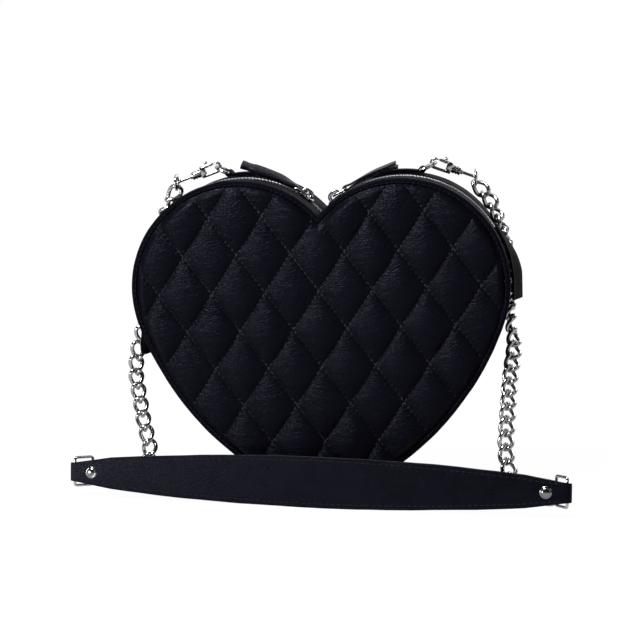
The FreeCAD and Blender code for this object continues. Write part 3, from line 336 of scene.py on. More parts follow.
def sweep(path, ring, up, closed=False):
    # a closed ring of (side, up) offsets carried along a path, square to it
    path = np.asarray(path, float)
    if closed:
        along = unit(np.roll(path, -1, 0) - np.roll(path, 1, 0))
    else:
        along = unit(np.gradient(path, axis=0))
    side = unit(np.cross(np.broadcast_to(np.asarray(up, float), path.shape), along))
    top = np.cross(along, side)
    ring = np.broadcast_to(ring, (len(path),) + np.shape(ring)[-2:])
    grid = path[:, None] + ring[..., :1] * side[:, None] + ring[..., 1:] * top[:, None]
    return gridShape(grid, closed, True, not closed)


def roundRing(a, b, power=2.0, count=16):
    # superellipse of half sizes a and b; power 2 is an ellipse, more is squarer
    t = np.linspace(0, 2 * math.pi, count, endpoint=False)
    c, s = (np.sign(wave) * np.abs(wave) ** (2 / power) for wave in (np.cos(t), np.sin(t)))
    return np.stack([a * c, b * s], -1)


def smooth(x, low=0.0, high=1.0):
    t = np.clip((x - low) / (high - low), 0, 1)
    return t * t * (3 - 2 * t)


def ripple(x, seed, longest, layers=4):
    # smooth random waves between about -1 and 1: a few sines of random phase, each shorter than the last
    draw = np.random.default_rng(seed)
    total = np.zeros_like(np.asarray(x, float))
    for k in range(layers):
        rate = 2 * math.pi * 1.73 ** k / longest * draw.uniform(0.8, 1.2)
        total = total + np.sin(x * rate + draw.uniform(0, 6.28)) * 0.62 ** k
    return total / 1.9


def addPiece(name, shape, material, body="purse", nodes=(), sharp=40.0, merge=0.0,
             uv=None, marks=None):
    points, faces = shape
    mesh = bpy.data.meshes.new(name)
    mesh.from_pydata((np.asarray(points) / 1000).tolist(), [], faces)
    if uv is not None:
        layer = mesh.uv_layers.new(name="UVMap")
        corner = np.zeros(len(mesh.loops), np.int32)
        mesh.loops.foreach_get("vertex_index", corner)
        layer.data.foreach_set("uv", uv[corner].astype(np.float32).ravel())
    for key, values in (marks or {}).items():
        mesh.attributes.new(key, "FLOAT", "POINT").data.foreach_set("value", values.astype(np.float32))
    work = bmesh.new()
    work.from_mesh(mesh)
    if merge:
        bmesh.ops.remove_doubles(work, verts=work.verts, dist=merge / 1000)
    bmesh.ops.recalc_face_normals(work, faces=work.faces)
    work.to_mesh(mesh)
    work.free()
    mesh.shade_smooth()
    mesh.set_sharp_from_angle(angle=math.radians(sharp))
    mesh.materials.append(material)
    piece = bpy.data.objects.new(name, mesh)
    scene.collection.objects.link(piece)
    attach(piece, body)
    if nodes:
        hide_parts(*nodes)
    return piece


def stitches(spots, along, out, length, width, lift):
    # one small grain of thread per spot: an ellipsoid, long along the seam and half sunk
    u = np.linspace(0, math.pi, 6)[1:-1]
    v = np.linspace(0, 2 * math.pi, 6, endpoint=False)
    body = np.stack(np.broadcast_arrays(-np.cos(u)[:, None], np.sin(u)[:, None] * np.cos(v),
                                        np.sin(u)[:, None] * np.sin(v)), -1)
    grain, faces = stackRings(body)
    grain[-2:] = (-1, 0, 0), (1, 0, 0)
    along, out = unit(along), unit(np.broadcast_to(out, along.shape))
    side = unit(np.cross(out, along))
    axes = np.stack([along * length / 2, side * width / 2, out * lift], 1)
    points = spots[:, None] + np.einsum("kj,njc->nkc", grain, axes)
    step = np.arange(len(spots)) * len(grain)
    quads = np.array([f for f in faces if len(f) == 4])
    tris = np.array([f for f in faces if len(f) == 3])
    every = (quads[None] + step[:, None, None]).reshape(-1, 4).tolist()
    every += (tris[None] + step[:, None, None]).reshape(-1, 3).tolist()
    return points.reshape(-1, 3), every


def lineLength(line):
    return np.concatenate([[0], np.cumsum(np.linalg.norm(np.diff(line, axis=0), axis=1))])


def evenly(line, pitch, reach=0.4):
    # spots and directions at an even pitch along a line of points
    run = lineLength(line)
    at = np.arange(pitch / 2, run[-1], pitch)

    def pointAt(place):
        return np.stack([np.interp(place, run, column) for column in line.T], -1)

    ahead, behind = pointAt(np.minimum(at + reach, run[-1])), pointAt(np.maximum(at - reach, 0))
    return pointAt(at), unit(ahead - behind)


# heart outline: lobe arcs, side arcs tangent to them, tip arcs and the flat base; millimetres
heart = {"lobe": 61.8, "spread": 45.998, "rise": 121.598, "side": 169.95, "tip": 29.998, "base": 16.0,
         "zipJoint": 4.1}
bothFaces = (("front", -1), ("rear", 1))
handName = {-1: "left", 1: "right"}


def sideCentre(h):
    tipRise = math.sqrt(h["tip"] ** 2 - h["base"] ** 2 / 4)
    toLobe, toTip = h["side"] - h["lobe"], h["side"] - h["tip"]
    span = math.hypot(h["spread"], h["rise"] - tipRise)
    along = (toLobe ** 2 - toTip ** 2 + span ** 2) / (2 * span)
    across = math.sqrt(toLobe ** 2 - along ** 2)
    ux, uz = -h["spread"] / span, (tipRise - h["rise"]) / span
    return h["spread"] + along * ux + across * uz, h["rise"] + along * uz - across * ux, tipRise


sideX, sideZ, tipRise = sideCentre(heart)


def arcPoints(centre, radius, start, end, count):
    t = np.linspace(start, end, count)
    return np.stack([centre[0] + radius * np.cos(t), centre[1] + radius * np.sin(t)], -1)


def heartHalf(inset, lowCounts=(5, 14, 70, 24), highCount=110):
    # right half of the outline at an even inset: from the base to the zip joint, then on to the notch
    h = heart
    lobe, side, tip = h["lobe"] - inset, h["side"] - inset, h["tip"] - inset
    foot = tipRise - inset
    half = math.sqrt(tip ** 2 - foot ** 2)
    baseTurn = math.atan2(-foot, half)
    tipTurn = math.atan2(tipRise - sideZ, -sideX)
    sideTurn = math.atan2(h["rise"] - sideZ, h["spread"] - sideX)
    joint = math.radians(h["zipJoint"])
    notch = math.pi - math.acos(h["spread"] / lobe)
    base = np.stack([np.linspace(0, half, lowCounts[0]), np.full(lowCounts[0], inset)], -1)
    low = np.concatenate([base, arcPoints((0, tipRise), tip, baseTurn, tipTurn, lowCounts[1])[1:],
                          arcPoints((sideX, sideZ), side, tipTurn, sideTurn, lowCounts[2])[1:],
                          arcPoints((h["spread"], h["rise"]), lobe, sideTurn, joint, lowCounts[3])[1:]])
    high = arcPoints((h["spread"], h["rise"]), lobe, joint, notch, highCount)
    return low, high


def mirrorLine(line):
    return line[::-1] * (-1, 1)


def lowLine(inset):
    low, _ = heartHalf(inset)
    return np.concatenate([mirrorLine(low), low[1:]])


def highLine(inset):
    _, high = heartHalf(inset)
    return np.concatenate([high, mirrorLine(high)[1:]])


def heartRing(inset):
    return np.concatenate([lowLine(inset), highLine(inset)[1:-1]])


def outward(line, closed=False):
    # the outline runs anticlockwise seen from the front, so outward is to its right
    step = np.roll(line, -1, 0) - np.roll(line, 1, 0) if closed else np.gradient(line, axis=0)
    return unit(np.stack([step[:, 1], -step[:, 0]], -1))


def bandShape(lineAt, profile, closed, push=None):
    # a closed profile of (inset, depth) carried round the heart; push moves points outward
    grid = np.stack([np.insert(lineAt(inset), 1, depth, 1) for inset, depth in profile], 1)
    if push is not None:
        out = np.insert(outward(lineAt(0.0), closed), 1, 0.0, 1)
        grid = grid + out[:, None] * push[..., None]
    return gridShape(grid, closed, True, not closed)


# quilted panel: millimetres; diamond is the width and height of one diamond, grain the size of one stitch
quilt = {"inset": 3.06, "columns": 300, "rows": 230, "back": 29.55, "rim": 31.5, "rise": 1.2, "crown": 1.3,
         "puff": 3.3, "soft": 0.56, "diamond": (30.6, 43.4), "centre": (0.0, 120.5), "turn": 1.2,
         "stitch": 3.1, "grain": (2.3, 0.75, 0.34), "pucker": 0.14, "tugRate": 1.06, "tugWidth": 2.2,
         "edgeFade": 4.0, "edgeRoll": 3.2, "crownRun": 60.0, "uneven": (0.16, 0.1), "wrinkle": 0.1,
         "seamEdge": 1.6, "seamReach": 104.0}


def edgeDistance(x, z, inset):
    # least distance to the inset outline, to its points and the middles of its runs
    line = heartRing(inset)
    line = np.concatenate([line, (line + np.roll(line, -1, 0)) / 2])
    spots = np.stack([x.ravel(), z.ravel()], -1)
    chunks = np.array_split(spots, 60)
    least = [np.sqrt(((chunk[:, None] - line) ** 2).sum(-1).min(1)) for chunk in chunks]
    return np.concatenate(least).reshape(x.shape)


def quiltCoords(x, z):
    v = quilt
    turn = math.radians(v["turn"])
    dx, dz = x - v["centre"][0], z - v["centre"][1]
    p = (dx * math.cos(turn) + dz * math.sin(turn)) / v["diamond"][0]
    q = (dz * math.cos(turn) - dx * math.sin(turn)) / v["diamond"][1]
    return q + p, q - p


def quiltDepth(x, z, edge):
    # a rolled edge, a slight crown, and pillows that fall to sharp seams with stitch puckers
    v = quilt
    s, t = quiltCoords(x, z)
    period = 1 / math.hypot(1 / v["diamond"][0], 1 / v["diamond"][1])
    nearS, nearT = np.abs(s - np.round(s)) * period, np.abs(t - np.round(t)) * period
    pillow = (np.abs(np.sin(math.pi * s)) * np.abs(np.sin(math.pi * t))) ** v["soft"]
    each, drift = v["uneven"]
    lean = each * np.sin(2.3 * np.floor(s) + 1.7 * np.floor(t)) + drift * np.sin(x / 17 + z / 23)
    fade = smooth(edge, 0, v["edgeFade"])
    rolled = v["rise"] * (1 - np.exp(-edge / v["edgeRoll"])) + v["crown"] * smooth(edge, 0, v["crownRun"])
    tug = np.zeros_like(x)
    rate = 2 * math.pi * period * v["tugRate"] / v["stitch"]
    for near, run in ((nearS, t), (nearT, s)):
        tug = tug + np.exp(-(near / v["tugWidth"]) ** 2) * np.cos(rate * run)
    fine = v["wrinkle"] * ripple(z + 2.2 * np.sin(x / 9), 5, 7.0) * np.sqrt(pillow)
    depth = v["rim"] + rolled + fade * (v["puff"] * pillow * (1 + lean) + fine)
    return depth + fade * v["pucker"] * tug, pillow * fade


def heartSpan(x, inset):
    # lowest and highest point of the outline at each x
    low, high = heartHalf(inset, (40, 120, 400, 200), 900)
    cut = np.argmax(low[:, 0])
    floor, roof = low[:cut + 1], np.concatenate([low[cut:], high[1:]])[::-1]
    return np.interp(np.abs(x), floor[:, 0], floor[:, 1]), np.interp(np.abs(x), roof[:, 0], roof[:, 1])


def heartGrid(inset, columns, rows):
    # columns across the heart, closer towards the sides, with rows from its lower to its upper edge
    low, _ = heartHalf(inset, (40, 120, 400, 200), 900)
    swing = np.linspace(-1, 1, columns)
    x = low[:, 0].max() * (0.35 * np.sin(math.pi / 2 * swing) + 0.65 * swing)
    bottom, top = heartSpan(x, inset)
    share = np.linspace(0, 1, rows)
    share = 0.75 * share + 0.25 * smooth(share)
    z = bottom[:, None] + (top - bottom)[:, None] * share[None]
    return np.broadcast_to(x[:, None], z.shape), z


def thinHeart(x, z, face, back):
    # two skins over one heart grid, joined round the edge
    nu, nv = z.shape
    n = nu * nv
    points = np.concatenate([np.stack([x, y, z], -1).reshape(-1, 3) for y in (face, back)])
    quads = faceGrid(nu, nv)
    index = np.arange(n).reshape(nu, nv)
    rim = np.concatenate([index[:, 0], index[-1, 1:], index[-2::-1, -1], index[0, -2:0:-1]])
    after = np.roll(rim, -1)
    edge = np.stack([rim, after, after + n, rim + n], -1)
    return points, np.concatenate([quads, quads[:, ::-1] + n, edge]).tolist()


def heartArea(inset):
    x, z = heartRing(inset).T
    return 0.5 * abs(np.sum(x * np.roll(z, -1) - z * np.roll(x, -1)))


def makePanel(side, sign):
    v = quilt
    x, z = heartGrid(v["inset"], v["columns"], v["rows"])
    edge = edgeDistance(x, z, v["inset"])
    edge[:, 0] = edge[:, -1] = 0.0
    depth, crest = quiltDepth(x, z, edge)
    shape = thinHeart(x, z, sign * depth, np.full_like(x, sign * v["back"]))
    # crest is the pillow height; the panel leather turns it into painted shade, darker in the seams and
    # lighter on the pillow tops
    crest = np.concatenate([crest.ravel(), 0 * crest.ravel()])
    panel = addPiece("quilted_panel_" + side, shape, panelLeather, merge=0.0005,
                     nodes=(side + "_panel", side + "_padding"), marks={"crest": crest}, sharp=70)


def quiltThread(side, sign):
    # seams of the lattice as rows of thread, kept inside the edge
    v = quilt
    turn = math.radians(v["turn"])
    rows = []
    for kind in (0, 1):
        for k in range(-12, 13):
            run = np.arange(-12, 12, 0.004)
            s, t = (np.full_like(run, k), run) if kind == 0 else (run, np.full_like(run, k))
            p, q = (s - t) / 2 * v["diamond"][0], (s + t) / 2 * v["diamond"][1]
            x = v["centre"][0] + p * math.cos(turn) - q * math.sin(turn)
            z = v["centre"][1] + p * math.sin(turn) + q * math.cos(turn)
            wide = np.abs(x) < v["seamReach"]
            x, z = x[wide], z[wide]
            bottom, top = heartSpan(x, v["inset"] + v["seamEdge"])
            inside = (z > bottom) & (z < top)
            if inside.sum() > 30:
                rows.append(np.stack([x[inside], z[inside]], -1))
    spots, ways = zip(*(evenly(row, v["stitch"]) for row in rows))
    spots, ways = np.concatenate(spots), np.concatenate(ways)
    edge = edgeDistance(spots[:, 0], spots[:, 1], v["inset"])
    depth, _ = quiltDepth(spots[:, 0], spots[:, 1], edge)
    at = np.stack([spots[:, 0], sign * (depth + 0.12), spots[:, 1]], -1)
    way = np.insert(ways, 1, 0.0, 1)
    grains = stitches(at, way, (0.0, sign, 0.0), *v["grain"])
    addPiece("quilt_thread_" + side, grains, quiltCotton)


for side, sign in bothFaces:
    makePanel(side, sign)
    quiltThread(side, sign)
print("quilted panels made")


# edge binding: a rounded band over each edge of the gusset, with a lap where its ends meet
binding = {"middle": (1.5, 30.1), "half": (1.62, 2.1), "square": 3.2, "lap": (78.0, 79.4, 86.0),
           "lapLift": 0.45, "uneven": 0.12, "stitchInset": 2.35, "stitch": 3.0, "grain": (2.2, 0.6, 0.3)}


def makeBinding(side, sign):
    v = binding
    ring = roundRing(*v["half"], v["square"], 22)
    profile = [(v["middle"][0] + a, sign * (v["middle"][1] + b)) for a, b in ring]
    line = heartRing(0.0)
    run = lineLength(line)
    turn = np.degrees(np.arctan2(line[:, 1] - heart["rise"], -line[:, 0] - heart["spread"]))
    lap = smooth(turn, *v["lap"][:2]) * (turn < v["lap"][2]) * (line[:, 0] < 0)
    swell = v["uneven"] * ripple(run, 21, 60) + v["lapLift"] * lap
    push = np.broadcast_to(swell[:, None], (len(line), len(ring)))
    shape = bandShape(heartRing, profile, True, push)
    addPiece("edge_binding_" + side, shape, edgeLeather, nodes=(side + "_binding",))
    seam = heartRing(v["stitchInset"])
    spots, ways = evenly(np.concatenate([seam, seam[:1]]), v["stitch"])
    face = sign * (v["middle"][1] + v["half"][1] - 0.12)
    at, way = np.insert(spots, 1, face, 1), np.insert(ways, 1, 0.0, 1)
    grains = stitches(at, way, (0.0, sign, 0.0), *v["grain"])
    addPiece("binding_thread_" + side, grains, thread)


for side, sign in bothFaces:
    makeBinding(side, sign)


# gusset and zip strips: thin leather bands, a little slack between their seams
gusset = {"half": 27.9, "thick": 1.4, "inset": 0.02, "slack": 0.55, "stripSlack": 0.2, "stripInner": 6.0,
          "fold": 1.5, "stitchIn": 2.6, "stitch": 3.2, "grain": (2.3, 0.6, 0.3), "dip": 0.95, "dipFrom": 15.0}


def zipDip(y):
    # how far a strip dips towards the zip
    return gusset["dip"] * (1 - smooth(np.abs(y), gusset["stripInner"], gusset["dipFrom"]))


def leatherBand(lineAt, low, high, slack, seed, count=26, dip=0.0):
    # a flat rounded profile between two depths; its outside sags inward between the seams
    v = gusset
    across = np.linspace(low, high, count)
    outer = [(v["inset"] + dip * zipDip(y), y) for y in across]
    inner = [(v["thick"] + dip * zipDip(y) * 0.4, y) for y in across[::-1]]
    profile = outer + inner
    line = lineAt(0.0)
    run = lineLength(line)
    share = np.concatenate([np.linspace(0, 1, count), np.linspace(1, 0, count)])
    belly = np.sin(math.pi * share)[None] ** 0.8
    wave = ripple(run[:, None] + 6 * np.sin(share * 5)[None], seed, 46)
    return bandShape(lineAt, profile, False, -slack * belly * (0.75 + 0.45 * wave))


def bandThread(name, lineAt, depths, dip=0.0):
    v = gusset
    rows = []
    for depth in depths:
        spots, ways = evenly(lineAt(v["inset"] + dip * zipDip(depth)), v["stitch"])
        at, way = np.insert(spots, 1, depth, 1), np.insert(ways, 1, 0.0, 1)
        normals = np.stack([ways[:, 1], 0 * ways[:, 0], -ways[:, 0]], -1)
        rows.append(stitches(at, way, normals, *v["grain"]))
    addPiece(name, joinShapes(*rows), thread)


def makeGusset():
    v = gusset
    far, near = v["half"], v["stripInner"]
    band = leatherBand(lowLine, -far, far, v["slack"], 31, 34)
    addPiece("gusset_leather", band, gussetLeather, nodes=("lower_gusset",))
    for side, low, high, seed in (("front", -far, -near, 32), ("rear", near, far, 33)):
        band = leatherBand(highLine, low, high, v["stripSlack"], seed, dip=1.0)
        addPiece("zip_strip_leather_" + side, band, gussetLeather, nodes=("zip_strip_" + side,))
    bandThread("zip_strip_thread", highLine, (-near - v["fold"], near + v["fold"]), dip=1.0)
    bandThread("gusset_thread", lowLine, (-far + v["stitchIn"], far - v["stitchIn"]))


makeGusset()
print("bindings and gusset made")


# shapes in a local frame: rows of axes are the frame's X, Y and Z in the shared frame
def setIn(shape, origin, axes):
    return shape[0] @ np.asarray(axes, float) + np.asarray(origin, float), shape[1]


def leanFrame(angle, side=1):
    # X rises outward by an angle in the XZ plane, Y stays, Z is square to both
    c, s = math.cos(math.radians(angle)), math.sin(math.radians(angle))
    return np.array([(side * c, 0, s), (0, side, 0), (-side * s, 0, c)])


def onLobe(side, angle, radius, y=0.0):
    t = np.radians(angle)
    return np.stack(np.broadcast_arrays(side * (heart["spread"] + radius * np.cos(t)), y,
                                        heart["rise"] + radius * np.sin(t)), -1)


def plate(outline, levels):
    # an outline of (x, y) raised through levels of (z, scale): a plate with rounded edges
    return stackRings([np.column_stack([outline * scale, np.full(len(outline), z)]) for z, scale in levels])


def lathe(profile, count=20):
    # (along x, radius) turned about the X axis
    t = np.linspace(0, 2 * math.pi, count, endpoint=False)
    turned = np.stack([0 * t, np.cos(t), np.sin(t)], -1)
    return stackRings([turned * r + (x, 0, 0) for x, r in profile])


def roundedLoop(corners, radius, steps=6):
    # closed path through corners of a plane with rounded turns
    corners = np.asarray(corners, float)
    path = []
    for before, here, after in zip(np.roll(corners, 1, 0), corners, np.roll(corners, -1, 0)):
        a, b = here + unit(before - here) * radius, here + unit(after - here) * radius
        t = np.linspace(0, 1, steps)[:, None]
        path.append((1 - t) ** 2 * a + 2 * t * (1 - t) * here + t ** 2 * b)
    return np.concatenate(path)


# linings: thin cloth behind the panels and inside the gusset; the tapes carry the zip
cloth = {"thick": 0.55, "panelInset": 3.15, "panelBack": 28.82, "gussetInset": 1.62, "gussetHalf": 27.9,
         "tapeInner": 3.3, "tapeOuter": 15.9, "wave": 0.12}


def makeLining(side, sign):
    v = cloth
    x, z = heartGrid(v["panelInset"], 90, 70)
    wave = v["wave"] * ripple(x + 0.7 * z, 41, 40)
    face = sign * (v["panelBack"] + v["thick"] + 0 * x)
    shape = thinHeart(x, z, face, sign * (v["panelBack"] + v["wave"] + wave))
    piece = addPiece("lining_" + side, shape, liningCloth, nodes=(side + "_lining",),
                     merge=0.0005, uv=shape[0][:, ::2])
    heartArea(v["panelInset"]) / 1e6


def clothBand(name, lineAt, low, high, node, material):
    v = cloth
    across = np.linspace(low, high, 14)
    inset = v["gussetInset"]
    profile = [(inset, y) for y in across] + [(inset + v["thick"], y) for y in across[::-1]]
    shape = bandShape(lineAt, profile, False)
    run = lineLength(lineAt(inset))
    depths = np.array([y for _, y in profile])
    uv = np.stack(np.broadcast_arrays(run[:, None], depths), -1).reshape(-1, 2)
    uv = np.concatenate([uv, uv[:1], uv[-1:]])
    piece = addPiece(name, shape, material, nodes=(node,), uv=uv)


for side, sign in bothFaces:
    makeLining(side, sign)
clothBand("lining_gusset", lowLine, -cloth["gussetHalf"], cloth["gussetHalf"], "gusset_lining", liningCloth)
near, far = cloth["tapeInner"], cloth["tapeOuter"]
clothBand("zip_tape_cloth_front", highLine, -far, -near, "zip_tape_front", tapeCloth)
clothBand("zip_tape_cloth_rear", highLine, near, far, "zip_tape_rear", tapeCloth)


# zip teeth: both rows reach over the middle, half a pitch apart; degrees from the outside of each lobe
zipper = {"radius": 60.5, "pitch": 2.0, "top": 137.3, "ends": {-1: 9.0, 1: 30.0}, "reach": (3.25, -0.55),
          "tall": 1.2, "thick": 0.45}


def makeTeeth(side, sign):
    v = zipper
    step = math.degrees(v["pitch"] / v["radius"])
    reach = np.linspace(*v["reach"], 6)
    swell = np.array([0.7, 0.82, 0.9, 1.0, 1.0, 0.72])
    ring = roundRing(v["thick"], v["tall"], 3.0, 8)
    tooth, faces = stackRings([np.column_stack([ring[:, 0] * k, np.full(8, y), ring[:, 1] * k])
                               for y, k in zip(reach, swell)])
    shapes = []
    for lobe, end in v["ends"].items():
        for angle in np.arange(v["top"] - (sign > 0) * step / 2, end, -step):
            frameHere = leanFrame(angle - 90, lobe)
            local = tooth * (1, sign * lobe, 1)
            shapes.append(setIn((local, faces), onLobe(lobe, angle, v["radius"]), frameHere))
    addPiece("zip_row_" + side, joinShapes(*shapes), toothChrome, nodes=("zip_teeth_" + side,))


for side, sign in bothFaces:
    makeTeeth(side, sign)
print("linings, tapes and teeth made")


# sliders: two shield plates round the teeth with lips, a post between them and a bridge for the bail
slider = {"angle": {-1: 126.0, 1: 128.0}, "half": (5.4, 4.15), "upper": (61.4, 62.6), "lower": (57.2, 58.4),
          "lip": (60.0, 61.5), "bridge": (3.1, 65.45), "bridgeHalf": (1.15, 0.6)}
pull = {"hinge": 63.75, "lean": {-1: 28.0, 1: 30.0}, "wire": 0.68, "half": 4.9, "reach": 8.0, "bend": 1.5}


def addHand(name, side, shape, material, node, body="purse"):
    # one of a left and right pair; the hand is put in the names of the piece, its node and its body
    hand = handName[side]
    addPiece(name + "_" + hand, shape, material, body.format(hand), (node + "_" + hand,))


def makeSlider(side):
    v = slider
    ring = roundRing(*v["half"], 3.0, 40)
    outline = ring * np.stack([1 + 0 * ring[:, 0], 0.86 + 0.14 * smooth(ring[:, 0], -5, 4)], -1)
    shapes = []
    for low, high in (v["upper"], v["lower"]):
        shapes.append(plate(outline, [(low, 0.95), (low + 0.2, 1.0), (high - 0.35, 1.0), (high - 0.1, 0.955),
                                      (high, 0.88)]))
    for sign in (-1, 1):
        lip = roundRing(3.6, 0.32, 5.0, 20) + (0, sign * 3.62)
        shapes.append(plate(lip, [(v["lip"][0], 0.99), (v["lip"][1], 1.0)]))
        shapes.append(plate(lip, [(v["lower"][1] - 0.2, 1.0), (v["lower"][1] + 1.0, 0.99)]))
    post = roundRing(1.0, 0.42, 2.0, 12) + (3.6, 0)
    shapes.append(plate(post, [(v["lower"][1] - 0.3, 1.0), (v["upper"][0] + 0.3, 1.0)]))
    t = np.linspace(0, math.pi, 22)
    foot = v["upper"][1] - 0.3
    arch = np.stack([-v["bridge"][0] * np.sign(np.cos(t)) * np.abs(np.cos(t)) ** 0.7, 0 * t,
                     foot + (v["bridge"][1] - foot) * np.sin(t) ** 0.75], -1)
    shapes.append(sweep(arch, roundRing(*v["bridgeHalf"], 3.0, 14), (0, 1, 0.001)))
    angle = v["angle"][side]
    shape = setIn(joinShapes(*shapes), onLobe(side, angle, 0), leanFrame(angle - 90, side))
    addHand("zip_slider", side, shape, chrome, "slider", "slider_{}_body")


def pullFrame(side):
    return onLobe(side, slider["angle"][side], pull["hinge"]), leanFrame(pull["lean"][side], side)


def makeBail(side):
    v = pull
    corners = [(0, -v["half"], 0), (v["reach"], -v["half"], 0), (v["reach"], v["half"], 0), (0, v["half"], 0)]
    wire = roundRing(v["wire"], v["wire"], 2, 12)
    shape = setIn(sweep(roundedLoop(corners, v["bend"]), wire, (0, 0, 1), closed=True), *pullFrame(side))
    addHand("pull_bail_wire", side, shape, chrome, "pull_bail", "pull_{}_body")


for side in handName:
    makeSlider(side)
    makeBail(side)


# leather pulls: a strip folded round the bail; the left one is rolled, the right one opens at its cut end;
# clear is how much is taken off below, over the teeth
strip = {"half": 3.95, "rolled": 2.05, "layer": 0.62, "end": 40.4, "roll": {-1: 22.0, 1: 8.0},
         "droop": {-1: 2.0, 1: 4.0}, "clear": {-1: 0.42, 1: 0.27}}


def makePullSkin(path, half, thick, roll, power):
    # a strip along a path with its own half width, half thickness and roll (degrees) at each station
    ring = np.stack([roundRing(a, b, power, 24) for a, b in zip(half, thick)])
    t = np.radians(roll)[:, None]
    turned = np.stack([ring[..., 0] * np.cos(t) - ring[..., 1] * np.sin(t),
                       ring[..., 0] * np.sin(t) + ring[..., 1] * np.cos(t)], -1)
    return sweep(path, turned, (0, 0, 1))


def pullDroop(x, side):
    # cubic fall from the bail to the tip
    return strip["droop"][side] * (np.maximum(x - 8, 0) / 34) ** 3


def makeRolledPull(side):
    v = strip
    x = np.concatenate([[6.25, 6.3, 6.5, 6.9, 7.4, 8.0], np.linspace(9, 41.6, 40), [41.9, 42.0]])
    rise = np.sqrt(np.clip(1 - ((x - 8.0) / 1.8) ** 2, 0, 1))
    head = v["clear"][side] * smooth(x, 6.5, 8.5) * (1 - smooth(x, 19, 27))
    body = v["rolled"] - head + 0.14 * ripple(x, 51, 16) - 0.55 * smooth(x, 33, 38) + 0.12 * smooth(x, 38, 41)
    thick = np.where(x < 8.0, np.maximum(1.85 * rise, 0.05), body)
    half = v["half"] * (0.86 + 0.14 * smooth(x, 6, 9)) - 0.5 * smooth(x, 32, 38) + 0.3 * smooth(x, 38, 42)
    half = np.where(x > 41.7, half - 0.25, half)
    roll = v["roll"][side] * smooth(x, 8, 18)
    wave = 0.4 * np.sin(x / 8.5) * smooth(x, 10, 20)
    path = np.stack([x, 0 * x, head + wave - pullDroop(x, side)], -1)
    shape = setIn(makePullSkin(path, half, thick, side * roll, 3.4), *pullFrame(side))
    addHand("pull_leather", side, shape, pullLeather, "pull_tab", "pull_{}_body")


def makeOpenPull(side):
    v = strip
    t = np.linspace(math.pi, math.pi / 2, 8)
    x = np.concatenate([8 + 1.3 * np.cos(t), np.linspace(9.5, v["end"], 36)])
    part = 0.06 + 0.62 * smooth(x, 31, 42) ** 1.5
    loop = np.sqrt(np.clip(1.7 - (x - 8) ** 2, 0, 9))
    lift = np.where(x < 8, loop, 1.3 - (1.3 - v["layer"]) * smooth(x, 8, 12)) + part
    half = v["half"] * (0.86 + 0.2 * smooth(x, 10, 42))
    roll = side * v["roll"][side] * smooth(x, 12, 30)
    shapes = []
    for sign, clear in ((1, 0.0), (-1, v["clear"][side])):
        head = clear * (1 - smooth(x, 10, 14))
        path = np.stack([x, 0 * x, sign * lift + head - pullDroop(x, side)], -1)
        shapes.append(makePullSkin(path, half, v["layer"] - 0.9 * head, roll, 6.0))
    shape = setIn(joinShapes(*shapes), *pullFrame(side))
    addHand("pull_leather", side, shape, pullLeather, "pull_tab", "pull_{}_body")


makeRolledPull(-1)
makeOpenPull(1)
print("sliders and pulls made")


# end tabs: a strip over each end of the zip that follows the lobe and then hangs, one edge flaring away
endTab = {"radius": 62.7, "half": 11.0, "thick": 0.78, "top": {-1: 9.0, 1: 30.0}, "bend": {-1: -8.0, 1: 0.0},
          "drop": {-1: 33.0, 1: 11.0}, "round": {-1: 8.0, 1: 0.8}, "flare": {-1: 4.4, 1: 5.3},
          "flareRun": {-1: (24.0, -2.0), 1: (44.0, 14.0)}}


def tabRoute(side):
    v = endTab
    arc = onLobe(side, np.linspace(v["top"][side], v["bend"][side], 26), v["radius"])
    bend = math.radians(v["bend"][side])
    down = np.array((side * math.sin(bend), 0, -math.cos(bend)))
    run = np.linspace(0, v["drop"][side], 30)[1:]
    return np.concatenate([arc, arc[-1] + run[:, None] * down])


def makeEndTab(side):
    # the front edge of the left tab and the rear edge of the right one stand off
    v = endTab
    path = tabRoute(side)
    run = lineLength(path)
    left = run[-1] - run
    corner = v["round"][side]
    cut = np.sqrt(np.clip(1 - np.clip(1 - left / corner, 0, 1) ** 2, 0.02, 1))
    half = v["half"] - corner * (1 - cut)
    half = np.where(run < 1.2, half - 0.8 * (1 - np.sqrt(np.clip(run / 1.2, 0.05, 1))), half)
    ring = np.stack([roundRing(w, v["thick"], 7.0, 44) for w in half])
    shape = sweep(path, ring, (side, 0, 0.2))
    grid = shape[0][:-2].reshape(len(path), 44, 3)
    share = smooth(run, *(run[-1] - np.array(v["flareRun"][side])))[:, None]
    edge = smooth(side * grid[..., 1], -9, 7)
    lift = v["flare"][side] * share * (0.12 + 0.88 * edge)
    grid[..., 0] += side * (lift + 0.15 * ripple(grid[..., 2], 61, 30))
    points = np.concatenate([grid.reshape(-1, 3), grid[0].mean(0)[None], grid[-1].mean(0)[None]])
    addHand("zip_end_leather", side, (points, shape[1]), tabLeather, "zip_end_tab")


for side in handName:
    makeEndTab(side)
print("end tabs made")


# D-rings in leather loops behind the tops of the lobes
ringTab = {"top": 108.0, "end": 80.0, "outer": 63.35, "inner": 62.4, "loop": 1.62, "bar": 64.2, "y": 20.5,
           "half": 5.4, "layer": 0.46}
dRing = {"half": 7.0, "leg": 1.5, "wire": 1.08, "lift": 25.0}


def bothHands(name, shape, material, node, body="purse"):
    # the right-hand shape and its mirror image
    addHand(name, 1, shape, material, node, body)
    addHand(name, -1, mirrorShape(shape), material, node, body)


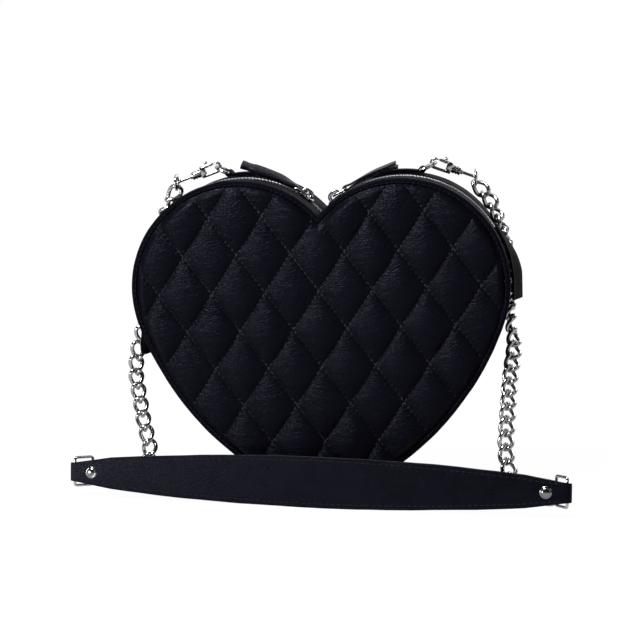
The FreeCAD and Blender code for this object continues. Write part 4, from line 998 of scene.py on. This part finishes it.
def makeRingTab():
    v = ringTab
    turn = np.linspace(v["top"], v["end"] + 2.2, 24)
    over = onLobe(1, turn, v["outer"], v["y"])
    under = onLobe(1, turn[::-1], v["inner"], v["y"])
    bar = onLobe(1, v["end"], v["bar"], v["y"])
    t = np.radians(np.linspace(150, -130, 18) + v["end"] - 90)
    loop = bar + v["loop"] * np.stack([np.cos(t), 0 * t, np.sin(t)], -1)
    path = np.concatenate([over, loop, under[1:]])
    shape = sweep(path, roundRing(v["layer"], v["half"], 6.0, 24), (0, 1, 0))
    bothHands("ring_tab_leather", shape, tabLeather, "d_ring_tab")


def makeDRing():
    v = dRing
    t = np.linspace(math.pi / 2, -math.pi / 2, 32)
    bow = np.stack([v["leg"] + v["half"] * np.cos(t), v["half"] * np.sin(t), 0 * t], -1)
    corners = [(0, v["half"], 0), bow[0] + (1, 0, 0), bow[-1] + (1, 0, 0), (0, -v["half"], 0)]
    corner = roundedLoop(corners, 1.0)
    bar = np.stack([np.zeros(9), np.linspace(-v["half"] + 1.0, v["half"] - 1.0, 9), np.zeros(9)], -1)
    path = np.concatenate([bar, corner[:6][1:], bow, corner[-6:][:-1]])
    shape = sweep(path, roundRing(v["wire"], v["wire"], 2, 14), (0, 0, 1), closed=True)
    bar = onLobe(1, ringTab["end"], ringTab["bar"], ringTab["y"])
    bothHands("d_ring_wire", setIn(shape, bar, leanFrame(v["lift"])), chrome, "d_ring")


# snap hooks: a bent claw, a block, a grooved barrel, a sprung gate with a thumb knob, and a swivelling eye;
# block is (along, scale) of its section, the other profiles are (along, radius)
hook = {"origin": (64.86, 20.5, 188.4), "tilt": -20.0, "claw": 2.65, "clawMid": 0.1, "bar": (0.92, 1.7),
        "neck": 7.6, "gate": (1.3, 7.9), "gateBar": (0.88, 0.75), "knob": 5.2, "reach": 25.0, "eye": 4.2,
        "eyeWire": 0.9, "blockHalf": (1.75, 3.5),
        "block": ((6.7, 0.84), (6.9, 0.96), (7.3, 1.0), (9.6, 1.0), (9.9, 0.95), (10.1, 0.8)),
        "barrel": ((9.9, 1.5), (10.2, 2.1), (10.5, 2.4), (11.9, 2.4), (12.1, 2.05), (12.5, 2.05), (12.7, 2.4),
                   (13.5, 2.4), (13.7, 2.05), (14.1, 2.05), (14.3, 2.4), (15.1, 2.4), (15.4, 2.2),
                   (15.5, 1.5)),
        "thumb": ((1.6, 0.7), (3.3, 0.7), (3.9, 0.85), (4.7, 1.15), (5.2, 1.05), (5.4, 0.6)),
        "stem": ((10.4, 0.8), (15.4, 0.85), (15.7, 1.35), (16.2, 1.5), (16.7, 1.35), (17.0, 0.9), (23.2, 0.9),
                 (24.6, 1.05), (25.2, 0.85), (25.6, 0.4))}


def makeHook():
    v = hook
    t = np.radians(np.linspace(70, 270, 30))
    claw = np.stack([v["clawMid"] + v["claw"] * np.cos(t), 0 * t, v["claw"] * np.sin(t)], -1)
    run = np.linspace(v["clawMid"], v["neck"], 12)[1:]
    path = np.concatenate([claw, np.stack([run, 0 * run, np.full(11, -v["claw"])], -1)])
    grow = 0.62 + 0.38 * smooth(lineLength(path), 0, 2.2)
    shapes = [sweep(path, roundRing(*v["bar"], 3.0, 18)[None] * grow[:, None, None], (0, 1, 0))]
    ring = roundRing(*v["blockHalf"], 4.0, 28)
    shapes.append(stackRings([np.column_stack([np.full(28, x), ring * k]) for x, k in v["block"]]))
    shapes.append(lathe(v["barrel"]))
    where = (v["origin"], leanFrame(v["tilt"]))
    bothHands("snap_hook", setIn(joinShapes(*shapes), *where), chrome, "hook")
    x = np.linspace(*v["gate"], 12)
    path = np.stack([x, 0 * x, np.full(12, v["claw"])], -1)
    swell = 1 - 0.35 * smooth(-x, -2.6, -1.2)
    knob = lathe(v["thumb"], 14)
    knob = (knob[0][:, ::-1] + (v["knob"], 0, 0), knob[1])
    bar = sweep(path, roundRing(*v["gateBar"], 3.0, 14)[None] * swell[:, None, None], (0, 1, 0))
    gate = setIn(joinShapes(bar, knob), *where)
    bothHands("hook_gate_bar", gate, chrome, "hook_gate", "gate_{}_body")
    stem = lathe(v["stem"], 16)
    t = np.linspace(0, 2 * math.pi, 36, endpoint=False)[:, None]
    tilt = math.radians(v["tilt"])
    upright = np.array((math.sin(tilt), 0, math.cos(tilt)))
    loop = np.array((v["reach"], -v["eye"], 0)) + v["eye"] * (np.cos(t) * (0, 1, 0) + np.sin(t) * upright)
    across = (math.cos(tilt), 0, -math.sin(tilt))
    eye = sweep(loop, roundRing(v["eyeWire"], v["eyeWire"], 2, 14), across, closed=True)
    bothHands("swivel_eye_ring", setIn(joinShapes(stem, eye), *where), chrome, "swivel_eye")


makeRingTab()
makeDRing()
makeHook()
print("rings and hooks made")


# chains: each link of the solid gives the place and lie of one curb link, an oval ring twisted lengthwise
curb = {"long": 5.55, "wide": 3.75, "wire": 1.26, "twist": 56.0, "around": 40, "section": 10,
        "face": {-1: (-0.3, -1.0, 0.2), 1: (0.45, -1.0, 0.25)}, "flatTop": {-1: (165, 176), 1: (146, 176)},
        "lean": 2.2, "hug": 3.1, "swing": {-1: 4.8, 1: -1.5}}


def linkFrames(node, start):
    # centres and long axes (millimetres) of the separate links of a chain node, in order from a start
    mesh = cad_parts[node].data.copy()
    work = bmesh.new()
    work.from_mesh(mesh)
    bmesh.ops.remove_doubles(work, verts=work.verts, dist=1e-6)
    work.to_mesh(mesh)
    work.free()
    points = np.zeros(len(mesh.vertices) * 3)
    mesh.vertices.foreach_get("co", points)
    points = points.reshape(-1, 3) * 1000
    ends = np.zeros(len(mesh.edges) * 2, np.int64)
    mesh.edges.foreach_get("vertices", ends)
    a, b = ends.reshape(-1, 2).T
    label = np.arange(len(points))
    while True:
        least = np.minimum(label[a], label[b])
        before = label.copy()
        np.minimum.at(label, a, least)
        np.minimum.at(label, b, least)
        label = label[label]
        if (label == before).all():
            break
    bpy.data.meshes.remove(mesh)
    centres, axes = [], []
    for group in np.unique(label):
        own = points[label == group]
        box = own - own.mean(0)
        centres.append(own.mean(0))
        axes.append(np.linalg.eigh(box.T @ box)[1][:, -1])
    centres, axes = np.array(centres), np.array(axes)
    here, order, free = np.asarray(start, float), [], list(range(len(centres)))
    while free:
        near = min(free, key=lambda k: np.linalg.norm(centres[k] - here))
        free.remove(near)
        order.append(near)
        here = centres[near]
    return centres[order], axes[order]


def chainLie(side, centres):
    # beside the lobe the chain lies flat and close to the gusset; below it swings a little and faces front
    v = curb
    z = centres[:, 2]
    flat = smooth(z, 84, 100) * (1 - smooth(z, *v["flatTop"][side]))
    close = smooth(z, 84, 100) * (1 - smooth(z, 160, 175))
    out = unit(centres * (1, 0, 1) - (side * heart["spread"], 0, heart["rise"]))
    away = np.array((side, 0, 0)) * (v["swing"][side] * smooth(z, 14, 40) * (1 - smooth(z, 64, 92)))[:, None]
    face = np.asarray(v["face"][side]) * (1 - flat)[:, None] + out * 1.4 * flat[:, None]
    return centres + away - out * (v["lean"] * close + v["hug"] * flat)[:, None], face


def makeChain(side):
    v = curb
    node = "chain_" + handName[side]
    centres, axes = linkFrames(node, (side * 88.3, 16.3, 176.0))
    centres, faces = chainLie(side, centres)
    way = np.gradient(centres, axis=0)
    axes = axes * np.sign((axes * way).sum(1))[:, None]
    t = np.linspace(0, 2 * math.pi, v["around"], endpoint=False)
    long = v["long"] * np.sign(np.cos(t)) * np.abs(np.cos(t)) ** 0.9
    wide = v["wide"] * np.sign(np.sin(t)) * np.abs(np.sin(t)) ** 0.9
    twist = math.radians(v["twist"]) * long / v["long"]
    link = np.stack([long, wide * np.cos(twist), wide * np.sin(twist)], -1)
    link = sweep(link, roundRing(v["wire"], v["wire"], 2, v["section"]), (0, 0, 1), closed=True)
    shapes = []
    for centre, along, face in zip(centres, axes, faces):
        out = unit(face - along * (face @ along))
        shapes.append(setIn(link, centre, np.stack([along, np.cross(out, along), out])))
    addPiece("curb_" + node, joinShapes(*shapes), chainChrome, "strap_body", (node,))


for side in handName:
    makeChain(side)
print("chains made")


# shoulder strap: a spindle of leather on its edge, folded back round a ring at each end, in a turned frame;
# back is the middle and half thickness of the backing, grain the size of one stitch
strap = {"place": (-5.5, -54.0, 0.05), "turn": -10.8, "lean": 7.0, "mid": 14.5, "shoulder": 121.5,
         "shoulderHalf": 9.2, "endHalf": 5.5, "foldX": 144.9, "foldY": 1.05, "skin": 0.74, "fold": 1.85,
         "tail": 24.0, "tailHalf": 5.0, "back": (1.06, 1.0), "backEnd": 5.2, "stitchIn": 2.4, "stitch": 3.4,
         "grain": (2.5, 0.62, 0.26), "crown": 0.5, "uneven": 0.16}


def strapPlace():
    # turned about the upright and leaning back a little from its lower edge
    c, s = math.cos(math.radians(strap["turn"])), math.sin(math.radians(strap["turn"]))
    up, back = math.cos(math.radians(strap["lean"])), math.sin(math.radians(strap["lean"]))
    return strap["place"], np.array([(c, s, 0), (-s * up, c * up, -back), (-s * back, c * back, up)])


def strapHalf(x):
    # half height: a long shallow arc, then a straight taper to the ends
    v = strap
    rise = v["mid"] - v["shoulderHalf"]
    bend = (v["shoulder"] ** 2 + rise ** 2) / (2 * rise)
    arc = v["mid"] - bend + np.sqrt(bend ** 2 - np.minimum(np.abs(x), v["shoulder"]) ** 2)
    taper = np.clip((np.abs(x) - v["shoulder"]) / (v["foldX"] - v["shoulder"]), 0, 1)
    straight = v["shoulderHalf"] + (v["endHalf"] - v["shoulderHalf"]) * taper
    return np.where(np.abs(x) < v["shoulder"], arc, straight)


def addStrapPiece(name, shape, material, nodes=()):
    addPiece(name, setIn(shape, *strapPlace()), material, "strap_body", nodes)


def strapGrid(x, y, normal, half, thick, power=9.0, count=56, crown=0.0):
    # upright sections along a path of x and y; the outer face swells by the crown
    ring = roundRing(1.0, 1.0, power, count)
    height = half[:, None] * ring[:, 1]
    swell = crown * smooth(half, 5.5, 9)[:, None] * (1 - ring[:, 1] ** 2) * (ring[:, 0] > 0)
    deep = thick * ring[:, 0] + swell
    wave = strap["uneven"] * ripple(x, 71, 90)[:, None]
    return np.stack([x[:, None] + normal[:, :1] * deep, y[:, None] + normal[:, 1:] * deep,
                     strap["mid"] + wave * smooth(half, 5.5, 9)[:, None] + height], -1)


def makeStrapFront():
    v = strap
    turn = np.linspace(-math.pi / 2, math.pi / 2, 14)
    foldX = v["foldX"] + v["fold"] * np.cos(turn)
    foldY = v["foldY"] + v["fold"] * np.sin(turn)
    front = np.linspace(0, v["foldX"], 90)[:-1]
    tail = np.linspace(v["foldX"], v["foldX"] - v["tail"], 20)[1:]
    x = np.concatenate([front, foldX, tail])
    y = np.concatenate([np.full(89, v["foldY"] - v["fold"]), foldY, np.full(19, v["foldY"] + v["fold"])])
    outX = np.concatenate([0 * front, np.cos(turn), 0 * tail])
    outY = np.concatenate([0 * front - 1, np.sin(turn), 0 * tail + 1])
    bent = np.concatenate([0 * front, smooth(turn, -1.5, 1.5), 0 * tail + 1])
    half = strapHalf(x) * (1 - bent) + v["tailHalf"] * bent
    half[-2:] -= (0.12, 0.5)
    full = [np.concatenate([-a[:0:-1] if flip else a[:0:-1], a])
            for a, flip in ((x, True), (y, False), (outX, True), (outY, False), (half, False))]
    grid = strapGrid(full[0], full[1], np.stack(full[2:4], -1), full[4], v["skin"], crown=v["crown"])
    addStrapPiece("strap_leather_front", stackRings(grid), strapLeather, nodes=("strap_front",))


def makeStrapBack():
    v = strap
    x = np.linspace(-v["foldX"] + v["backEnd"], v["foldX"] - v["backEnd"], 150)
    half = strapHalf(x) - 0.15
    half[[0, -1]] -= 0.4
    normal = np.tile((0.0, 1.0), (len(x), 1))
    grid = strapGrid(x, np.full_like(x, v["back"][0]), normal, half, v["back"][1])
    addStrapPiece("strap_leather_back", stackRings(grid), tabLeather, nodes=("strap_back",))


def makeStrapThread():
    v = strap
    x = np.linspace(-v["foldX"] + 4, v["foldX"] - 4, 500)
    half = strapHalf(x)
    broad = smooth(half, 5.5, 9)
    height = half - v["stitchIn"] * (0.55 + 0.45 * broad)
    swell = v["crown"] * broad * (1 - (height / half) ** 2)
    front, rear = v["foldY"] - v["fold"] - v["skin"] - swell - 0.02, v["back"][0] + v["back"][1] + 0 * x
    rows = []
    for sign in (1, -1):
        for face, out in ((front, -1), (rear, 1)):
            spots, ways = evenly(np.stack([x, face, v["mid"] + sign * height], -1), v["stitch"])
            rows.append(stitches(spots, ways, (0.0, out, 0.0), *v["grain"]))
    addStrapPiece("strap_thread", joinShapes(*rows), thread)


# rivets: a domed cap on each side and a post between them; (along, radius)
rivet = {"x": 133.5, "post": ((-0.2, 1.35), (5.6, 1.35)),
         "cap": ((0.0, 3.1), (0.02, 3.45), (0.25, 3.5), (0.45, 3.36), (0.62, 3.0), (0.7, 2.75), (0.66, 2.5),
                 (0.9, 2.2), (1.1, 1.5), (1.2, 0.7))}


def makeRivets():
    v = strap
    cap, post = lathe(rivet["cap"], 28), lathe(rivet["post"], 14)
    deep = v["fold"] + v["skin"] + 0.02
    ahead, behind = np.array([(0, -1, 0), (1, 0, 0), (0, 0, 1)]), np.array([(0, 1, 0), (-1, 0, 0), (0, 0, 1)])
    shapes = []
    for x in (-rivet["x"], rivet["x"]):
        for piece, y, axes in ((cap, -deep, ahead), (cap, deep, behind), (post, -deep, behind)):
            shapes.append(setIn(piece, (x, v["foldY"] + y, v["mid"]), axes))
    addStrapPiece("strap_cap_rivets", joinShapes(*shapes), shadedRivetChrome, ("strap_rivets",))


# end rings: a rounded oblong of wire through each fold, leaning back
endRing = {"half": 8.2, "reach": 11.5, "lean": 50.0, "wire": 0.88, "bend": 1.5}


def makeEndRing(side):
    v = endRing
    corners = [(0, 0, -v["half"]), (v["reach"], 0, -v["half"]), (v["reach"], 0, v["half"]), (0, 0, v["half"])]
    path = roundedLoop(corners, v["bend"])
    shape = sweep(path, roundRing(v["wire"], v["wire"], 2, 14), (0, 1, 0), closed=True)
    c, s = math.cos(math.radians(v["lean"])), math.sin(math.radians(v["lean"]))
    lean = np.array([(-side * c, s, 0), (-s, -side * c, 0), (0, 0, 1)])
    shape = setIn(shape, (side * strap["foldX"], strap["foldY"], strap["mid"]), lean)
    shape = setIn(shape, *strapPlace())
    addHand("strap_ring_wire", side, shape, chrome, "strap_ring", "strap_body")


makeStrapFront()
makeStrapBack()
makeStrapThread()
makeRivets()
for side in handName:
    makeEndRing(side)
print("strap made")
